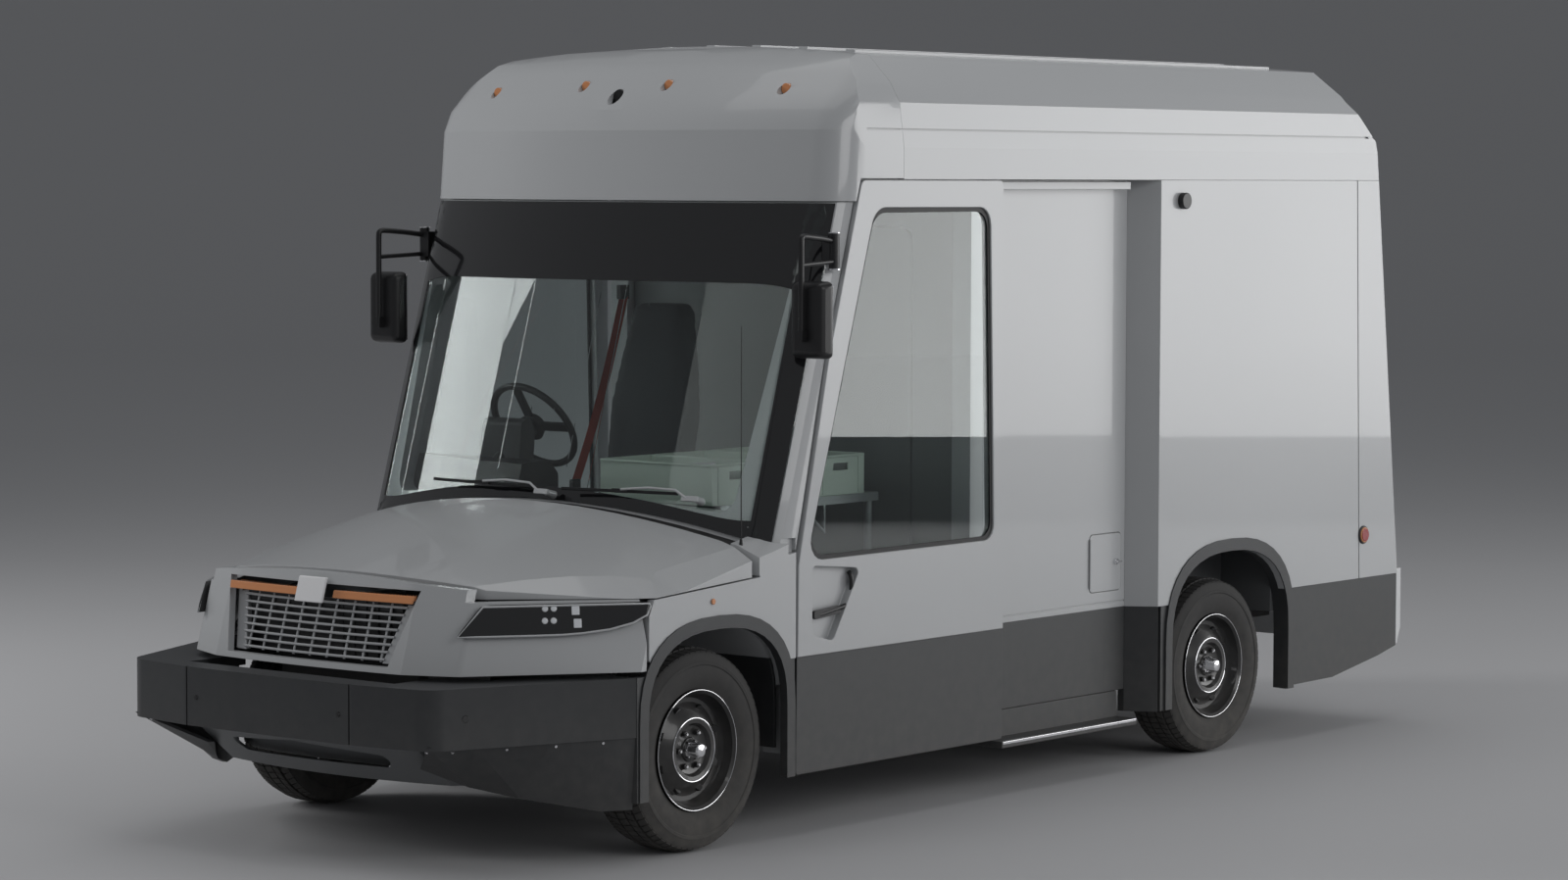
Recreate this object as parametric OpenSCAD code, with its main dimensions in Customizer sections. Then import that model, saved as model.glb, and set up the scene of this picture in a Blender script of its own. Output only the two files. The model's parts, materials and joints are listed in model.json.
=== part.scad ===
// Mail delivery truck with sliding cab doors. Millimetres, +Z up, front towards -Y,
// +X is the vehicle's left. The origin is on the ground under the middle of the truck.

/* [Overall] */
// Width over the body sides
body_w = 2118; // [1800:1:2550]
// Length from the bumper face to the rear bumper
body_l = 6054; // [5400:1:7400]
// Height of the roof crown above the ground
body_h = 2955; // [2600:1:3500]
// Distance between the axles
wheelbase = 3400; // [3000:1:4200]
// Distance from the bumper face to the front axle
front_overhang = 1187; // [1000:1:1500]

/* [Wheels] */
// Radius of the tyre tread
tyre_r = 372; // [300:1:410]
// Width of the tyre
tyre_w = 225; // [180:1:270]
// Radius of the wheel rim's edge
rim_r = 222; // [180:1:250]
// Distance from the body side in to the tyre's outer face
wheel_inset = 44; // [20:1:90]
// Gap between the tyre tread and the top of the arch
arch_gap_front = 112; // [80:1:200]
// The same gap at the rear
arch_gap_rear = 120; // [80:1:200]

/* [Body] */
// Thickness of the body panels
skin = 30; // [15:1:40]
// Height where the dark cladding ends and the paint begins
belt_z = 668; // [560:1:760]
// Height of the lower edge of the doors and cladding
sill_z = 229; // [200:1:300]
// Top of the cab and load floor
floor_z = 600; // [520:1:720]
// Height of the seam above the doors
door_top_z = 2436; // [2250:1:2500]
// Depth of the recess beside the sliding doors
recess_d = 119; // [100:1:160]
// Backward lean of the windscreen, per unit of height
rake = 0.3; // [0.15:0.01:0.4]
// Forward lean of the tail, per unit of height
tail_rake = 0.113; // [0:0.005:0.2]

/* [Doors] */
// Thickness of a sliding cab door
door_t = 50; // [40:1:60]
// Length of a sliding cab door at its foot
door_l = 1298; // [1000:1:1400]
// Travel of a sliding cab door
door_travel = 950; // [600:1:980]
// Thickness of a hinged rear door
rear_door_t = 42; // [30:1:60]
// Gap round a closed door or flap
shut_gap = 6; // [4:1:10]
// Thickness of the glass
glass_t = 6; // [4:1:10]

/* [Cab] */
// Sideways place of the driver's seat, towards the vehicle's right
seat_x = -430; // [-500:1:-350]
// Width of the driver's seat
seat_w = 480; // [420:1:540]
// Radius of the steering wheel
wheel_r = 205; // [180:1:230]
// Length of a mail tray
tray_l = 560; // [400:1:600]
// Width of a mail tray
tray_w = 300; // [240:1:318]
// Height of a mail tray
tray_h = 155; // [120:1:200]
// Wall of a mail tray
tray_t = 5; // [4:1:10]

/* [Hidden] */
$fn = 48;
half_w = body_w / 2;
front_y = -body_l / 2;
rear_y = body_l / 2;
axle_f = front_y + front_overhang;
axle_r = axle_f + wheelbase;
wheel_x = half_w - wheel_inset - tyre_w / 2;
eps = 0.5;

// Cab door stations, measured from the front axle
door_y0 = axle_f + 501;
door_y1 = door_y0 + door_l;
post_y0 = door_y0 + door_l + door_travel + 68;
post_y1 = post_y0 + 72;
wall_x = half_w - recess_d;
door_x = half_w - door_t;
cab_x = door_x - 8;

rear_hinge_x = half_w - 36;
arch_f = axle_f + 50;          // centre of the front arch
arch_r = axle_r + 44;          // centre of the rear arch
arch_z = 500;                  // height where an arch starts to curve
arch_half_f = 430;
arch_half_r = 452;
liner_half = 462;              // front wheel house, clear of the steered wheel
liner_x = 575;
frame_t = 90;                  // depth of the cab pillars

// Nose stations
nose_z0 = belt_z + 45;
hood_front_y = front_y + 330;
hood_back_y = axle_f + 130;
hood_front_z = 1032;
hood_slope = 0.195;
hood_crown_r = 3100;
cowl_z = 1075;
glass_top_z = 2350;
screen_y = axle_f + 185;       // foremost line of the windscreen at cowl_z
cap_back_y = axle_f + 1140;
roof_side_z = body_h - 229;
roof_edge_x = half_w - 173;

// ---- Outlines ----

function unit(v) = v / norm(v);

// Arc of radius r that rounds the corner b between its neighbours a and c
function corner(a, b, c, r, n) =
    let (u = unit(a - b), v = unit(c - b), half = acos(u * v) / 2)
    r <= 0 || half > 89 ? [b] :
    let (o = b + unit(u + v) * r / sin(half), p = b + u * r / tan(half) - o,
         q = b + v * r / tan(half) - o, a0 = atan2(p[1], p[0]),
         turn = ((atan2(q[1], q[0]) - a0 + 540) % 360) - 180)
    [for (i = [0:n]) o + r * [cos(a0 + turn * i / n), sin(a0 + turn * i / n)]];

// Outline with every corner rounded, by one radius or by a list of them
function rounded(p, r, n = 5) =
    [for (i = [0:len(p) - 1]) each corner(p[(i + len(p) - 1) % len(p)], p[i],
        p[(i + 1) % len(p)], is_list(r) ? r[i] : r, n)];

// A half outline on +X, closed by its own mirror image
function both(h) = concat(h, [for (i = [len(h) - 1:-1:0]) [-h[i][0], h[i][1]]]);

// Bowed front edge from the centre line out to half width w, with sagitta s
function bow(w, y, s, n = 8) = [for (i = [0:n]) let (x = w * i / n) [x, y + s * pow(x / w, 2)]];

// Wheel arch: a rounded-shoulder arch of half width a, from z0 down to foot
function arch(y, a, z0, top, foot, n = 20) = concat([[y - a, foot]],
    [for (i = [0:n]) let (t = 180 - 180 * i / n, c = cos(t), s = sin(t))
        [y + a * sign(c) * pow(abs(c), 0.8), z0 + (top - z0) * pow(s, 0.8)]],
    [[y + a, foot]]);

// ---- Placing ----

// Plate from an outline of [y, z] points, between two X planes
module side_plate(pts, x0, x1)
    translate([x0, 0, 0]) rotate([90, 0, 90]) linear_extrude(x1 - x0) polygon(pts);

// Plate from an outline of [x, z] points, between two Y planes
module front_plate(pts, y0, y1)
    translate([0, y1, 0]) rotate([90, 0, 0]) linear_extrude(y1 - y0) polygon(pts);

// Prism from an outline of [x, y] points that leans back with height
module leaning(pts, z0, z1, lean)
    multmatrix([[1, 0, 0, 0], [0, 1, lean, 0], [0, 0, 1, z0]])
        linear_extrude(z1 - z0) polygon(pts);

module box(x0, x1, y0, y1, z0, z1)
    translate([x0, y0, z0]) cube([x1 - x0, y1 - y0, z1 - z0]);

module both_sides() {
    children();
    mirror([1, 0, 0]) children();
}

// Round bar between two points
module bar(a, b, r) {
    d = b - a;
    translate(a) rotate([0, acos(d[2] / norm(d)), atan2(d[1], d[0])])
        cylinder(h = norm(d), r = r, $fn = 20);
}

// ---- Cab shell ----

// Plan of the cab at windscreen height, drawn in by t all round
function cab_plan(t, y = screen_y) =
    let (r = 3000 - t, c = 180 - t, w = half_w - t, yf = y + t, cx = w - c,
         cy = yf + r - sqrt(pow(r - c, 2) - pow(cx, 2)), a = asin(cx / (r - c)))
    both(concat(
        [for (i = [0:8]) [r * sin(a * i / 8), yf + r - r * cos(a * i / 8)]],
        [for (i = [1:6]) let (b = a + (90 - a) * i / 6) [cx + c * sin(b), cy - c * cos(b)]],
        [[w, cap_back_y]]));

// Cab front from the cowl to the roof, as leaning slabs: level heights, and each slab's lean
cap_z = [cowl_z, glass_top_z, body_h - 335, body_h - 255, body_h - 185, body_h - 115, body_h - 65,
    body_h - 20, body_h];
cap_lean = [rake, 0.09, 0.5, 1.1, 1.2, 1.3, 3.5, 8];
cap_levels = len(cap_lean);
function set_back(i) = i == 0 ? 0 : set_back(i - 1) + cap_lean[i - 1] * (cap_z[i] - cap_z[i - 1]);

module cab_stack(t, first, last)
    for (i = [first:last - 1])
        translate([0, set_back(i), 0]) leaning(cab_plan(t), cap_z[i], cap_z[i + 1], cap_lean[i]);

// Cross-section of the body above the doors, drawn in by t
function roof_section(t) = both(concat(
    [for (i = [0:8]) let (x = (roof_edge_x - t * 0.7) * i / 8)
        [x, body_h - t - 45 * pow(x / roof_edge_x, 2)]],
    [[half_w - 68 - t, body_h - 150 - t * 0.5], [half_w - 22 - t, roof_side_z - t * 0.2],
     [half_w - t, door_top_z + 120], [half_w - t, door_top_z - 700]]));

// The tail leans forward: place of its face at height z
function tail_y(z) = rear_y - 51 - tail_rake * (z - 702);

module ladder_frame() color("dimgray") {
    rail_x = 430;
    rail_z = 440;
    y0 = front_y + 330;
    y1 = rear_y - 120;
    both_sides() difference() {
        box(rail_x - 70, rail_x, y0, y1, rail_z, rail_z + 120);
        box(rail_x - 80, rail_x - 8, y0 - eps, y1 + eps, rail_z + 8, rail_z + 112);
    }
    for (y = [y0 + 20, axle_f + 620, 0, axle_r - 620, axle_r + 640, y1 - 80])
        box(-rail_x + 7, rail_x - 7, y, y + 60, rail_z + 25, rail_z + 95);
}

module front_subframe() color("dimgray") {
    box(-340, 340, axle_f - 90, axle_f + 90, 240, 330);
    for (s = [-1, 1]) {
        bar([s * 330, axle_f - 60, 290], [s * 700, axle_f, 300], 22);
        bar([s * 330, axle_f + 60, 290], [s * 700, axle_f, 300], 22);
        translate([s * 500, axle_f + 30, 330]) cylinder(h = 390, r = 45, $fn = 24);
        box(s * 493 - 62, s * 493 + 62, axle_f - 60, axle_f + 110, 720, 745);
        box(s * 385 - 45, s * 385 + 45, axle_f - 60, axle_f + 60, 330, 439);
        box(s * 485 - 55, s * 485 + 55, axle_f - 15, axle_f + 75, 280, 330);
    }
}

module rear_axle() color("dimgray") {
    l = wheel_x + 42;
    translate([0, axle_r, tyre_r]) rotate([0, 90, 0])
        rotate_extrude() polygon([[0, -l], [46, -l], [46, -200], [150, -70], [150, 70], [46, 200], [46, l], [0, l]]);
    translate([0, axle_r - 300, tyre_r]) rotate([-90, 0, 0]) cylinder(h = 200, r = 55);
}

module leaf_springs() color("dimgray") both_sides() {
    for (i = [0:2])
        box(500, 570, axle_r - 560 + 130 * i, axle_r + 560 - 130 * i,
            tyre_r + 108 - 14 * i, tyre_r + 119 - 14 * i);
    box(495, 575, axle_r - 70, axle_r + 70, tyre_r + 48, tyre_r + 79.5);
    box(440, 585, axle_r - 600, axle_r - 540, tyre_r + 100, tyre_r + 170);
    box(440, 585, axle_r + 540, axle_r + 600, tyre_r + 100, tyre_r + 170);
}

module fuel_tank() color("silver") {
    box(470, 830, axle_f + 1400, axle_f + 2300, 300, 560);
    translate([-710, axle_r + 480, 420]) rotate([-90, 0, 0]) cylinder(h = 640, r = 105);
    translate([640, axle_r + 470, 340]) rotate([-90, 0, 0]) cylinder(h = 300, r = 75);
}

module engine() color("gray") {
    box(-260, 260, axle_f - 300, axle_f + 111, 420, 880);
    box(-210, 210, axle_f - 260, axle_f + 60, 880, 960);
    translate([0, axle_f + 110, 410]) rotate([-90, 0, 0]) cylinder(h = 500, r1 = 150, r2 = 80);
}

module radiator() color("black") {
    box(-350, 350, front_y + 420, front_y + 470, 440, 900);
    translate([0, front_y + 500, 670]) rotate([90, 0, 0]) cylinder(h = 29, r = 200);
}

module floor() color("gray") {
    well_x = half_w - 330;
    difference() {
        union() {
            intersection() {
                leaning(cab_plan(frame_t + 1), floor_z - 35, floor_z, 0);
                box(-wall_x + skin + 1, wall_x - skin - 1, screen_y, cap_back_y, floor_z - 35, floor_z);
            }
            box(-wall_x + skin + 1, wall_x - skin - 1, cap_back_y - 1, post_y0, floor_z - 35, floor_z);
            box(-half_w + 39, half_w - 39, post_y0 + 90, tail_y(floor_z) - rear_door_t - 40,
                floor_z - 35, floor_z);
            box(-wall_x + skin + 1, wall_x - skin - 1, post_y0 - 1, post_y0 + 91, floor_z - 35, floor_z);
        }
        both_sides() box(well_x, half_w, axle_r - 470, axle_r + 470, 0, floor_z + 100);
        front_wells();
        both_sides() box(half_w - 72, half_w, post_y0, axle_r + 550, 0, floor_z + 1);
    }
    // raised wear plate of the load floor
    box(-700, 700, door_y1 + 100, rear_y - 430, floor_z - 1, floor_z + 4);
    both_sides() difference() {
        box(well_x - 20, half_w - 72, axle_r - 490, axle_r + 490, floor_z - 35, 930);
        box(well_x, half_w, axle_r - 470, axle_r + 470, 0, 910);
    }
}

// Space that the front wheel houses take out of the cab
module front_wells()
    both_sides() side_plate(arch(axle_f, liner_half + 14, arch_z, 856, 0), liner_x - 14, half_w + 1);

// Side zone that belongs to the sliding doors and their shut gap
module door_zone()
    both_sides() side_plate([[door_y0 - shut_gap, 0], [door_y0 - shut_gap, 1009],
        [door_y0 + 185 - shut_gap, 1763], [door_y0 + 383 - shut_gap, door_top_z + 3],
        [cap_back_y + 400, door_top_z + 3], [cap_back_y + 400, 0]], cab_x, half_w + 1);

module cab_frame() color("gainsboro") {
    difference() {
        union() {
            intersection() {
                cab_stack(14, 0, 1);
                box(-half_w, half_w, front_y, door_y1 + 20, 0, glass_top_z);
            }
            leaning(cab_plan(14), floor_z - 35, cowl_z + eps, 0);
        }
        cab_stack(frame_t, 0, 1);
        leaning(cab_plan(frame_t), floor_z - 36, cowl_z + eps, 0);
        front_wells();
        both_sides() box(half_w - skin - 1, half_w, front_y, door_y0 + 8, 0, 1112);
        // windscreen opening
        front_plate(rounded(both([[0, 1255], [860, 1200], [935, 2270], [0, 2290]]), [0, 60, 60, 0, 0, 60, 60, 0]),
            screen_y - 50, screen_y + 620);
        // doorways, and the step where the doors lie outside the frame
        both_sides() {
            side_plate([[door_y0 + 75, floor_z + 1], [door_y0 + 75, 1009], [door_y0 + 430, 2330],
                [door_y1 - 70, 2330], [door_y1 - 70, floor_z + 1]], cab_x - 90, half_w + 1);
            box(wall_x + 1, half_w, door_y1 - 40, cap_back_y + 10, 0, glass_top_z + 90);
        }
        door_zone();
        box(-half_w, half_w, cap_back_y - 200, cap_back_y + 10, 0, glass_top_z + 10);
    }
    // B-pillars and sills
    both_sides() {
        box(wall_x - 90, wall_x, door_y1 - 70, door_y1 + 12, floor_z + 1, glass_top_z);
        box(wall_x - 60, cab_x, door_y0 + 20, door_y1 - 45, 300, floor_z - 36);
    }
}

module side_wall() {
    arch_pts = arch(arch_r, arch_half_r, arch_z, tyre_r * 2 + arch_gap_rear, sill_z - 40);
    difference() {
        side_plate([[post_y1 + 1, belt_z], [post_y1 + 1, door_top_z - 2], [tail_y(door_top_z - 2), door_top_z - 2],
            [tail_y(belt_z), belt_z]], half_w - skin, half_w);
        side_plate(arch_pts, half_w - skin - 1, half_w + 1);
        // grooves of the corner post seam
        side_plate([[tail_y(1937) - 172, 0], [tail_y(1937) - 164, 0], [tail_y(2600) - 164, 2600],
            [tail_y(2600) - 172, 2600]], half_w - 5, half_w + 1);
    }
    // corner post beside the rear doors
    multmatrix([[1, 0, 0, 0], [0, 1, -tail_rake, tail_rake * belt_z], [0, 0, 1, 0]])
        box(rear_hinge_x - 82, half_w - skin - 0.5, tail_y(belt_z) - 70, tail_y(belt_z) - 1, belt_z, door_top_z - 3);
    box(half_w - skin - 1, half_w - 5, tail_y(belt_z) - 70, tail_y(belt_z) - 5, belt_z, belt_z + 30);
    // slanted post beside the recess
    difference() {
        linear_extrude(door_top_z - 2) polygon([[wall_x, post_y0], [half_w, post_y1], [half_w, post_y1 + 0.8],
            [half_w - skin, post_y1 + 26], [wall_x - skin, post_y0 + 26], [wall_x - skin, post_y0]]);
        box(0, half_w + 1, post_y0 - 10, post_y1 + 40, -1, sill_z);
    }
}
module side_left() color("white") side_wall();
module side_right() color("white") mirror([1, 0, 0]) side_wall();

// Flap opening in the left recessed wall: y from the post, height range
flap_y0 = post_y0 - 258;
flap_y1 = post_y0 - 28;
flap_z0 = 739;
flap_z1 = 981;

module mid_wall(with_flap) {
    difference() {
        box(wall_x - skin, wall_x, door_y1 + 13, post_y0 - 1, 322, door_top_z - 2);
        if (with_flap)
            side_plate(rounded([[flap_y0, flap_z0], [flap_y1, flap_z0], [flap_y1, flap_z1], [flap_y0, flap_z1]], 22),
                wall_x - 12, wall_x + 1);
        box(wall_x - 4, wall_x + 1, door_y1, post_y0, belt_z + 22, belt_z + 28);
    }
    // lower guide rail and upper track of the sliding door
    box(wall_x + 4, half_w - 12, door_y1 + 13, post_y0 - 60, sill_z - 40, sill_z - 14);
    box(wall_x - 24, wall_x + 4.5, door_y1 + 13, post_y0 - 60, sill_z - 36, 321.5);
    box(wall_x + 0.5, half_w - 62, door_y1 + 13, post_y0 - 60, door_top_z - 40, door_top_z - 8);
}
module mid_panels() color("white") {
    mid_wall(true);
    mirror([1, 0, 0]) mid_wall(false);
}

module rear_cladding() color("darkslategray") both_sides() {
    a = arch(arch_r, arch_half_r, arch_z, tyre_r * 2 + arch_gap_rear, sill_z - 100);
    lip = arch(arch_r, arch_half_r + 48, arch_z, tyre_r * 2 + arch_gap_rear + 52, sill_z - 100);
    difference() {
        union() {
            side_plate([[post_y1 + 28, sill_z], [post_y1 + 28, belt_z - 1], [rear_y - 47, belt_z - 1],
                [rear_y - 47, 340], [rear_y - 200, 307], [rear_y - 590, 245], [axle_r + 560, 241], [axle_r + 500, sill_z]],
                half_w - 38, half_w - 4);
            intersection() {
                side_plate(lip, half_w - 70, half_w + 6);
                box(0, half_w + 6, post_y1 + 31, rear_y, sill_z + 1, 1100);
            }
        }
        side_plate(a, half_w - 80, half_w + 10);
        side_plate([[post_y1, belt_z - 1.5], [post_y1, door_top_z], [rear_y, door_top_z], [rear_y, belt_z - 1.5]],
            half_w - skin - 1, half_w + 0.5);
    }
}

// Front marker lamps stand in the face of the roof cap
module roof_lamp_spots()
    both_sides() for (x = [213, 741])
        translate([x, screen_y + 590 + 80 * pow(x / 800, 2), body_h - 160 - 20 * pow(x / 741, 2)])
            rotate([90, 0, 0]) translate([0, 0, -12]) children();
camera_y = screen_y + 566;
camera_z = body_h - 205;

// Roof ribs run along the load bay
module roof_panel() color("white") {
    difference() {
        front_plate(roof_section(0), cap_back_y + 1, rear_y);
        front_plate(roof_section(skin), cap_back_y, rear_y + 1);
        box(-half_w - 1, half_w + 1, front_y, rear_y + 1, 0, door_top_z);
        // sloping tail and its chamfer
        side_plate([[tail_y(door_top_z), door_top_z - 5], [tail_y(roof_side_z - 120), roof_side_z - 120],
            [rear_y - 448, roof_side_z + 52], [rear_y - 560, body_h + 10], [rear_y + 5, body_h + 10],
            [rear_y + 5, door_top_z - 5]], -half_w - 1, half_w + 1);
        // cant-rail groove
        both_sides() box(half_w - 22, half_w + 1, front_y, rear_y, door_top_z + 184, door_top_z + 192);
    }
    // top closing panel of the tail
    intersection() {
        front_plate(roof_section(4), cap_back_y, rear_y);
        box(-half_w, half_w, front_y, rear_y, door_top_z, body_h);
        side_plate([[tail_y(door_top_z) - 30, door_top_z], [tail_y(door_top_z), door_top_z],
            [tail_y(roof_side_z - 120), roof_side_z - 120], [rear_y - 448, roof_side_z + 52],
            [rear_y - 560, body_h], [rear_y - 600, body_h], [rear_y - 478, roof_side_z + 42],
            [tail_y(roof_side_z - 120) - 30, roof_side_z - 125]], -half_w + 4, half_w - 4);
    }
    for (i = [-3:3])
        intersection() {
            box(i * 235 - 22, i * 235 + 22, cap_back_y + 120, rear_y - 640, body_h - 60, body_h + 12);
            front_plate(both(concat([for (k = [0:8]) let (x = roof_edge_x * k / 8)
                [x, body_h + 9 - 45 * pow(x / roof_edge_x, 2)]], [[roof_edge_x, body_h - 90]])),
                cap_back_y, rear_y);
        }
}

module roof_cap() color("white") {
    difference() {
        intersection() {
            cab_stack(0, 1, cap_levels);
            front_plate(roof_section(0), front_y, cap_back_y);
            box(-half_w - 1, half_w + 1, front_y, cap_back_y, glass_top_z + 3, body_h + 1);
        }
        intersection() {
            cab_stack(skin, 1, cap_levels - 1);
            front_plate(roof_section(skin), front_y, cap_back_y + 1);
            box(-half_w - 1, half_w + 1, front_y, cap_back_y + 1, glass_top_z, body_h);
        }
        // the doors run up to their seam under the cap
        door_zone();
        roof_lamp_spots() cylinder(h = 400, r = 22.5);
        translate([0, camera_y, camera_z]) rotate([90, 0, 0]) cylinder(h = 300, r = 30.5, center = true);
        both_sides() box(half_w - 22, half_w + 1, door_y0 + 420, cap_back_y + 1, door_top_z + 184, door_top_z + 192);
    }
}

module windscreen() color("lightskyblue", 0.5) {
    // lower edge follows the crowned cowl
    edge = both(concat([for (i = [0:8]) let (x = (half_w - 45) * i / 8) [x, 1222 - 140 * pow(x / half_w, 2)]],
        [[half_w - 40, glass_top_z - 4]]));
    intersection() {
        difference() {
            cab_stack(4, 0, 1);
            cab_stack(4 + glass_t, 0, 1);
        }
        front_plate(edge, front_y, screen_y + 560);
    }
}

module cowl() color("black") {
    difference() {
        intersection() {
            difference() {
                leaning(cab_plan(-62, screen_y - 50), cowl_z - 70, 1215, rake);
                cab_stack(2, 0, 1);
                leaning(cab_plan(2), cowl_z - 90, cowl_z + eps, 0);
            }
            hood_crown(-30, 300);
            box(-940, 940, front_y, screen_y + 190, 0, 1300);
        }
        hood_edge(-4, front_y);
    }
}

// Everything between the hood's bowed rear edge, moved back by gap, and a Y plane
module hood_edge(gap, y)
    leaning(both(concat(bow(half_w + 10, hood_back_y - gap, 150), [[half_w + 10, y], [0, y]])), 800, 1400, 0);

// ---- Nose ----

// Solid under the crowned hood surface, moved up by lift
module hood_crown(lift, depth) {
    n = 12;
    pts = concat([for (i = [-n:n]) let (x = (half_w + 100) * i / n) [x, -pow(x, 2) / (2 * hood_crown_r)]],
        [[half_w + 100, -depth - 180], [-half_w - 100, -depth - 180]]);
    multmatrix([[1, 0, 0, 0], [0, 1, 0, 0],
        [0, hood_slope, 1, hood_front_z + lift - hood_slope * hood_front_y]])
        front_plate(pts, hood_front_y - 200, hood_back_y + 400);
}

// Plan of the nose above the bumper, drawn in by t
function nose_plan(t, y = front_y + 177) = both(concat(bow(470, y + t, 26),
    corner([470, y + t + 26], [664 - t, y + t + 110], [half_w - t, front_y + 812 + t * 0.5], 60, 5),
    [[half_w - t, front_y + 812 + t * 0.5], [half_w - t, axle_f + 520]]));

// Everything under a slanted plane on each side: slopes along x and y, and height at the origin
module under(slope_x, slope_y, z)
    both_sides() multmatrix([[1, 0, 0, 0], [0, 1, 0, 0], [slope_x, slope_y, 1, z]])
        box(0, half_w + 1, front_y, 0, -1500, 0);

// Sides of the hood: a shoulder that slopes outward and rises towards the cab, drawn in by t
module shoulder(t)
    both_sides() multmatrix([[1, 0, 0, 0], [0, 1, 0, 0], [-0.55, 0, 1, 0.55 * half_w]])
        side_plate([[front_y, -200], [front_y, 892.6 - t], [axle_f - 150, 960 - t], [axle_f + 450, 1092.6 - t],
            [axle_f + 450, -200]], 0, half_w + 1);

// Outer shape of the hood in front of the cab, drawn in by t
module hood_shoulder(t) intersection() {
    translate([0, 76, 0]) leaning(nose_plan(t), 949, 1300, 0.9);
    shoulder(t);
    under(-0.3632, 0.2732, 1918.9 - t);
}

module hood() color("white") difference() {
    intersection() {
        hood_crown(0, 120);
        hood_shoulder(0);
        side_plate([[hood_front_y - 20, 950], [hood_front_y - 40, 1300], [hood_back_y + 110, 1300],
            [hood_back_y + 110, 950]], -half_w, half_w);
    }
    translate([0, 0, -22]) intersection() {
        hood_crown(0, 160);
        hood_shoulder(22);
    }
    // front edge follows the bowed nose
    leaning(both(concat(bow(640, hood_front_y, 128), [[half_w + 1, hood_front_y + 540],
        [half_w + 2, front_y], [0, front_y]])), 900, 1300, 0);
    side_plate([[front_y, 900], [front_y, 951], [axle_f - 291, 951], [axle_f + 284, 988], [axle_f + 800, 988],
        [axle_f + 800, 900]], -half_w - 1, half_w + 1);
    // rear edge
    hood_edge(0, hood_back_y + 500);
}

// Corner between the hood, the windscreen and the cab door
module cowl_corner() intersection() {
    difference() {
        hood_crown(-1, 130);
        cab_stack(-3, 0, 1);
        leaning(cab_plan(-3), 900, cowl_z + eps, 0);
        hood_edge(-5, front_y);
    }
    shoulder(1);
    box(946, half_w, hood_back_y, door_y0 - shut_gap, 989, 1200);
}

module fenders() color("white") {
    both_sides() {
        fender();
        wheel_house();
    }
    intersection() {
        cowl_corner();
        box(0, half_w, front_y, 0, 0, 2000);
    }
    intersection() {
        cowl_corner();
        box(-half_w, 0, front_y, 0, 0, 2000);
    }
}

// Liner over the front wheel, open where the suspension arms pass
module wheel_house() difference() {
    side_plate(arch(axle_f, liner_half + 12, arch_z, 854, 330), liner_x - 12, half_w - 75);
    side_plate(arch(axle_f, liner_half, arch_z, 842, 300), liner_x, half_w);
    box(0, liner_x + 1, axle_f - 200, axle_f + 200, 0, 640);
    box(0, half_w, front_y, axle_f - 405, 0, 900);
}

module fender() difference() {
    side_plate([[axle_f - 332, belt_z + 62], [axle_f - 332, 890], [axle_f - 304, 946], [axle_f - 291, 946],
        [axle_f + 284, 983], [axle_f + 310, 1035], [door_y0 - shut_gap, 1060], [door_y0 - shut_gap, sill_z], [axle_f + 440, sill_z]],
        half_w - skin, half_w);
    side_plate(arch(arch_f, arch_half_f, arch_z, tyre_r * 2 + arch_gap_front, sill_z - 40), half_w - skin - 1, half_w + 1);
    box(half_w - 4, half_w + 1, axle_f, door_y0, 0, belt_z);
}

grille_half = 430;
grille_z0 = 716;
grille_z1 = 925;

module front_panel() color("white") {
    difference() {
        intersection() {
            difference() {
                leaning(nose_plan(0), nose_z0 - 18, 1040, rake);
                leaning(nose_plan(skin), nose_z0 - 20, 1042, rake);
            }
            union() {
                box(-half_w, half_w, front_y, axle_f - 345, nose_z0 - 20, 949);
                front_plate(both(concat(bow(640, 1026, -34), [[640, 900], [0, 900]])), front_y, hood_front_y + 128);
            }
        }
        // the hood closes over the panel's top edge
        intersection() {
            leaning(both(concat(bow(640, hood_front_y - 4, 128), [[half_w + 1, hood_front_y + 536], [0, hood_front_y + 536]])),
                949, 1300, 0);
            box(-half_w, half_w, front_y, 0, 949, 1300);
        }
        // openings for the grille, the lamps and the headlamps
        front_plate(both([[0, grille_z0], [grille_half - 25, grille_z0], [grille_half + 52, 985], [0, 985]]),
            front_y, front_y + 330);
        both_sides() headlamp_shape(0, 60);
        // front arch
        both_sides() side_plate(arch(arch_f, arch_half_f + 1, arch_z, tyre_r * 2 + arch_gap_front + 1, 0),
            half_w - skin - 20, half_w + 1);
    }
}

// Headlamp outline, seen from the side and swept through the nose corner
module headlamp_shape(t, depth)
    intersection() {
        difference() {
            leaning(nose_plan(-1), 810, 980, rake);
            leaning(nose_plan(depth), 800, 990, rake);
        }
        side_plate(rounded([[front_y + 290, 829 + t], [front_y + 290, 940 - t], [axle_f - 314 - t, 940 - t],
            [axle_f - 326 - t, 896], [axle_f - 425 - t, 850 + t], [axle_f - 590, 829 + t]], [0, 0, 14, 36, 90, 60]), 0, half_w + 2);
        front_plate([[650 + t, 820], [700 + t, 945], [half_w + 5, 945], [half_w + 5, 820]], front_y, axle_f);
    }

module headlamps() color("black") both_sides() headlamp_shape(2.5, 50);

module grille() color("black") {
    y0 = front_y + 177;
    difference() {
        intersection() {
            difference() {
                leaning(nose_plan(8), grille_z0 - 40, 990, rake);
                leaning(nose_plan(46), grille_z0 - 42, 992, rake);
            }
            front_plate(both([[0, grille_z0 + 3], [grille_half - 28, grille_z0 + 3], [grille_half + 49, 982], [0, 982]]),
                front_y, front_y + 330);
        }
        for (i = [0:4])
            box(-grille_half - 40, grille_half + 40, front_y, y0 + 34 + 0.3 * (i * 36), grille_z0 + 18 + i * 40, grille_z0 + 44 + i * 40);
    }
    box(-68, 68, y0 + 50, y0 + 62, 898, 1010);
}

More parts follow.
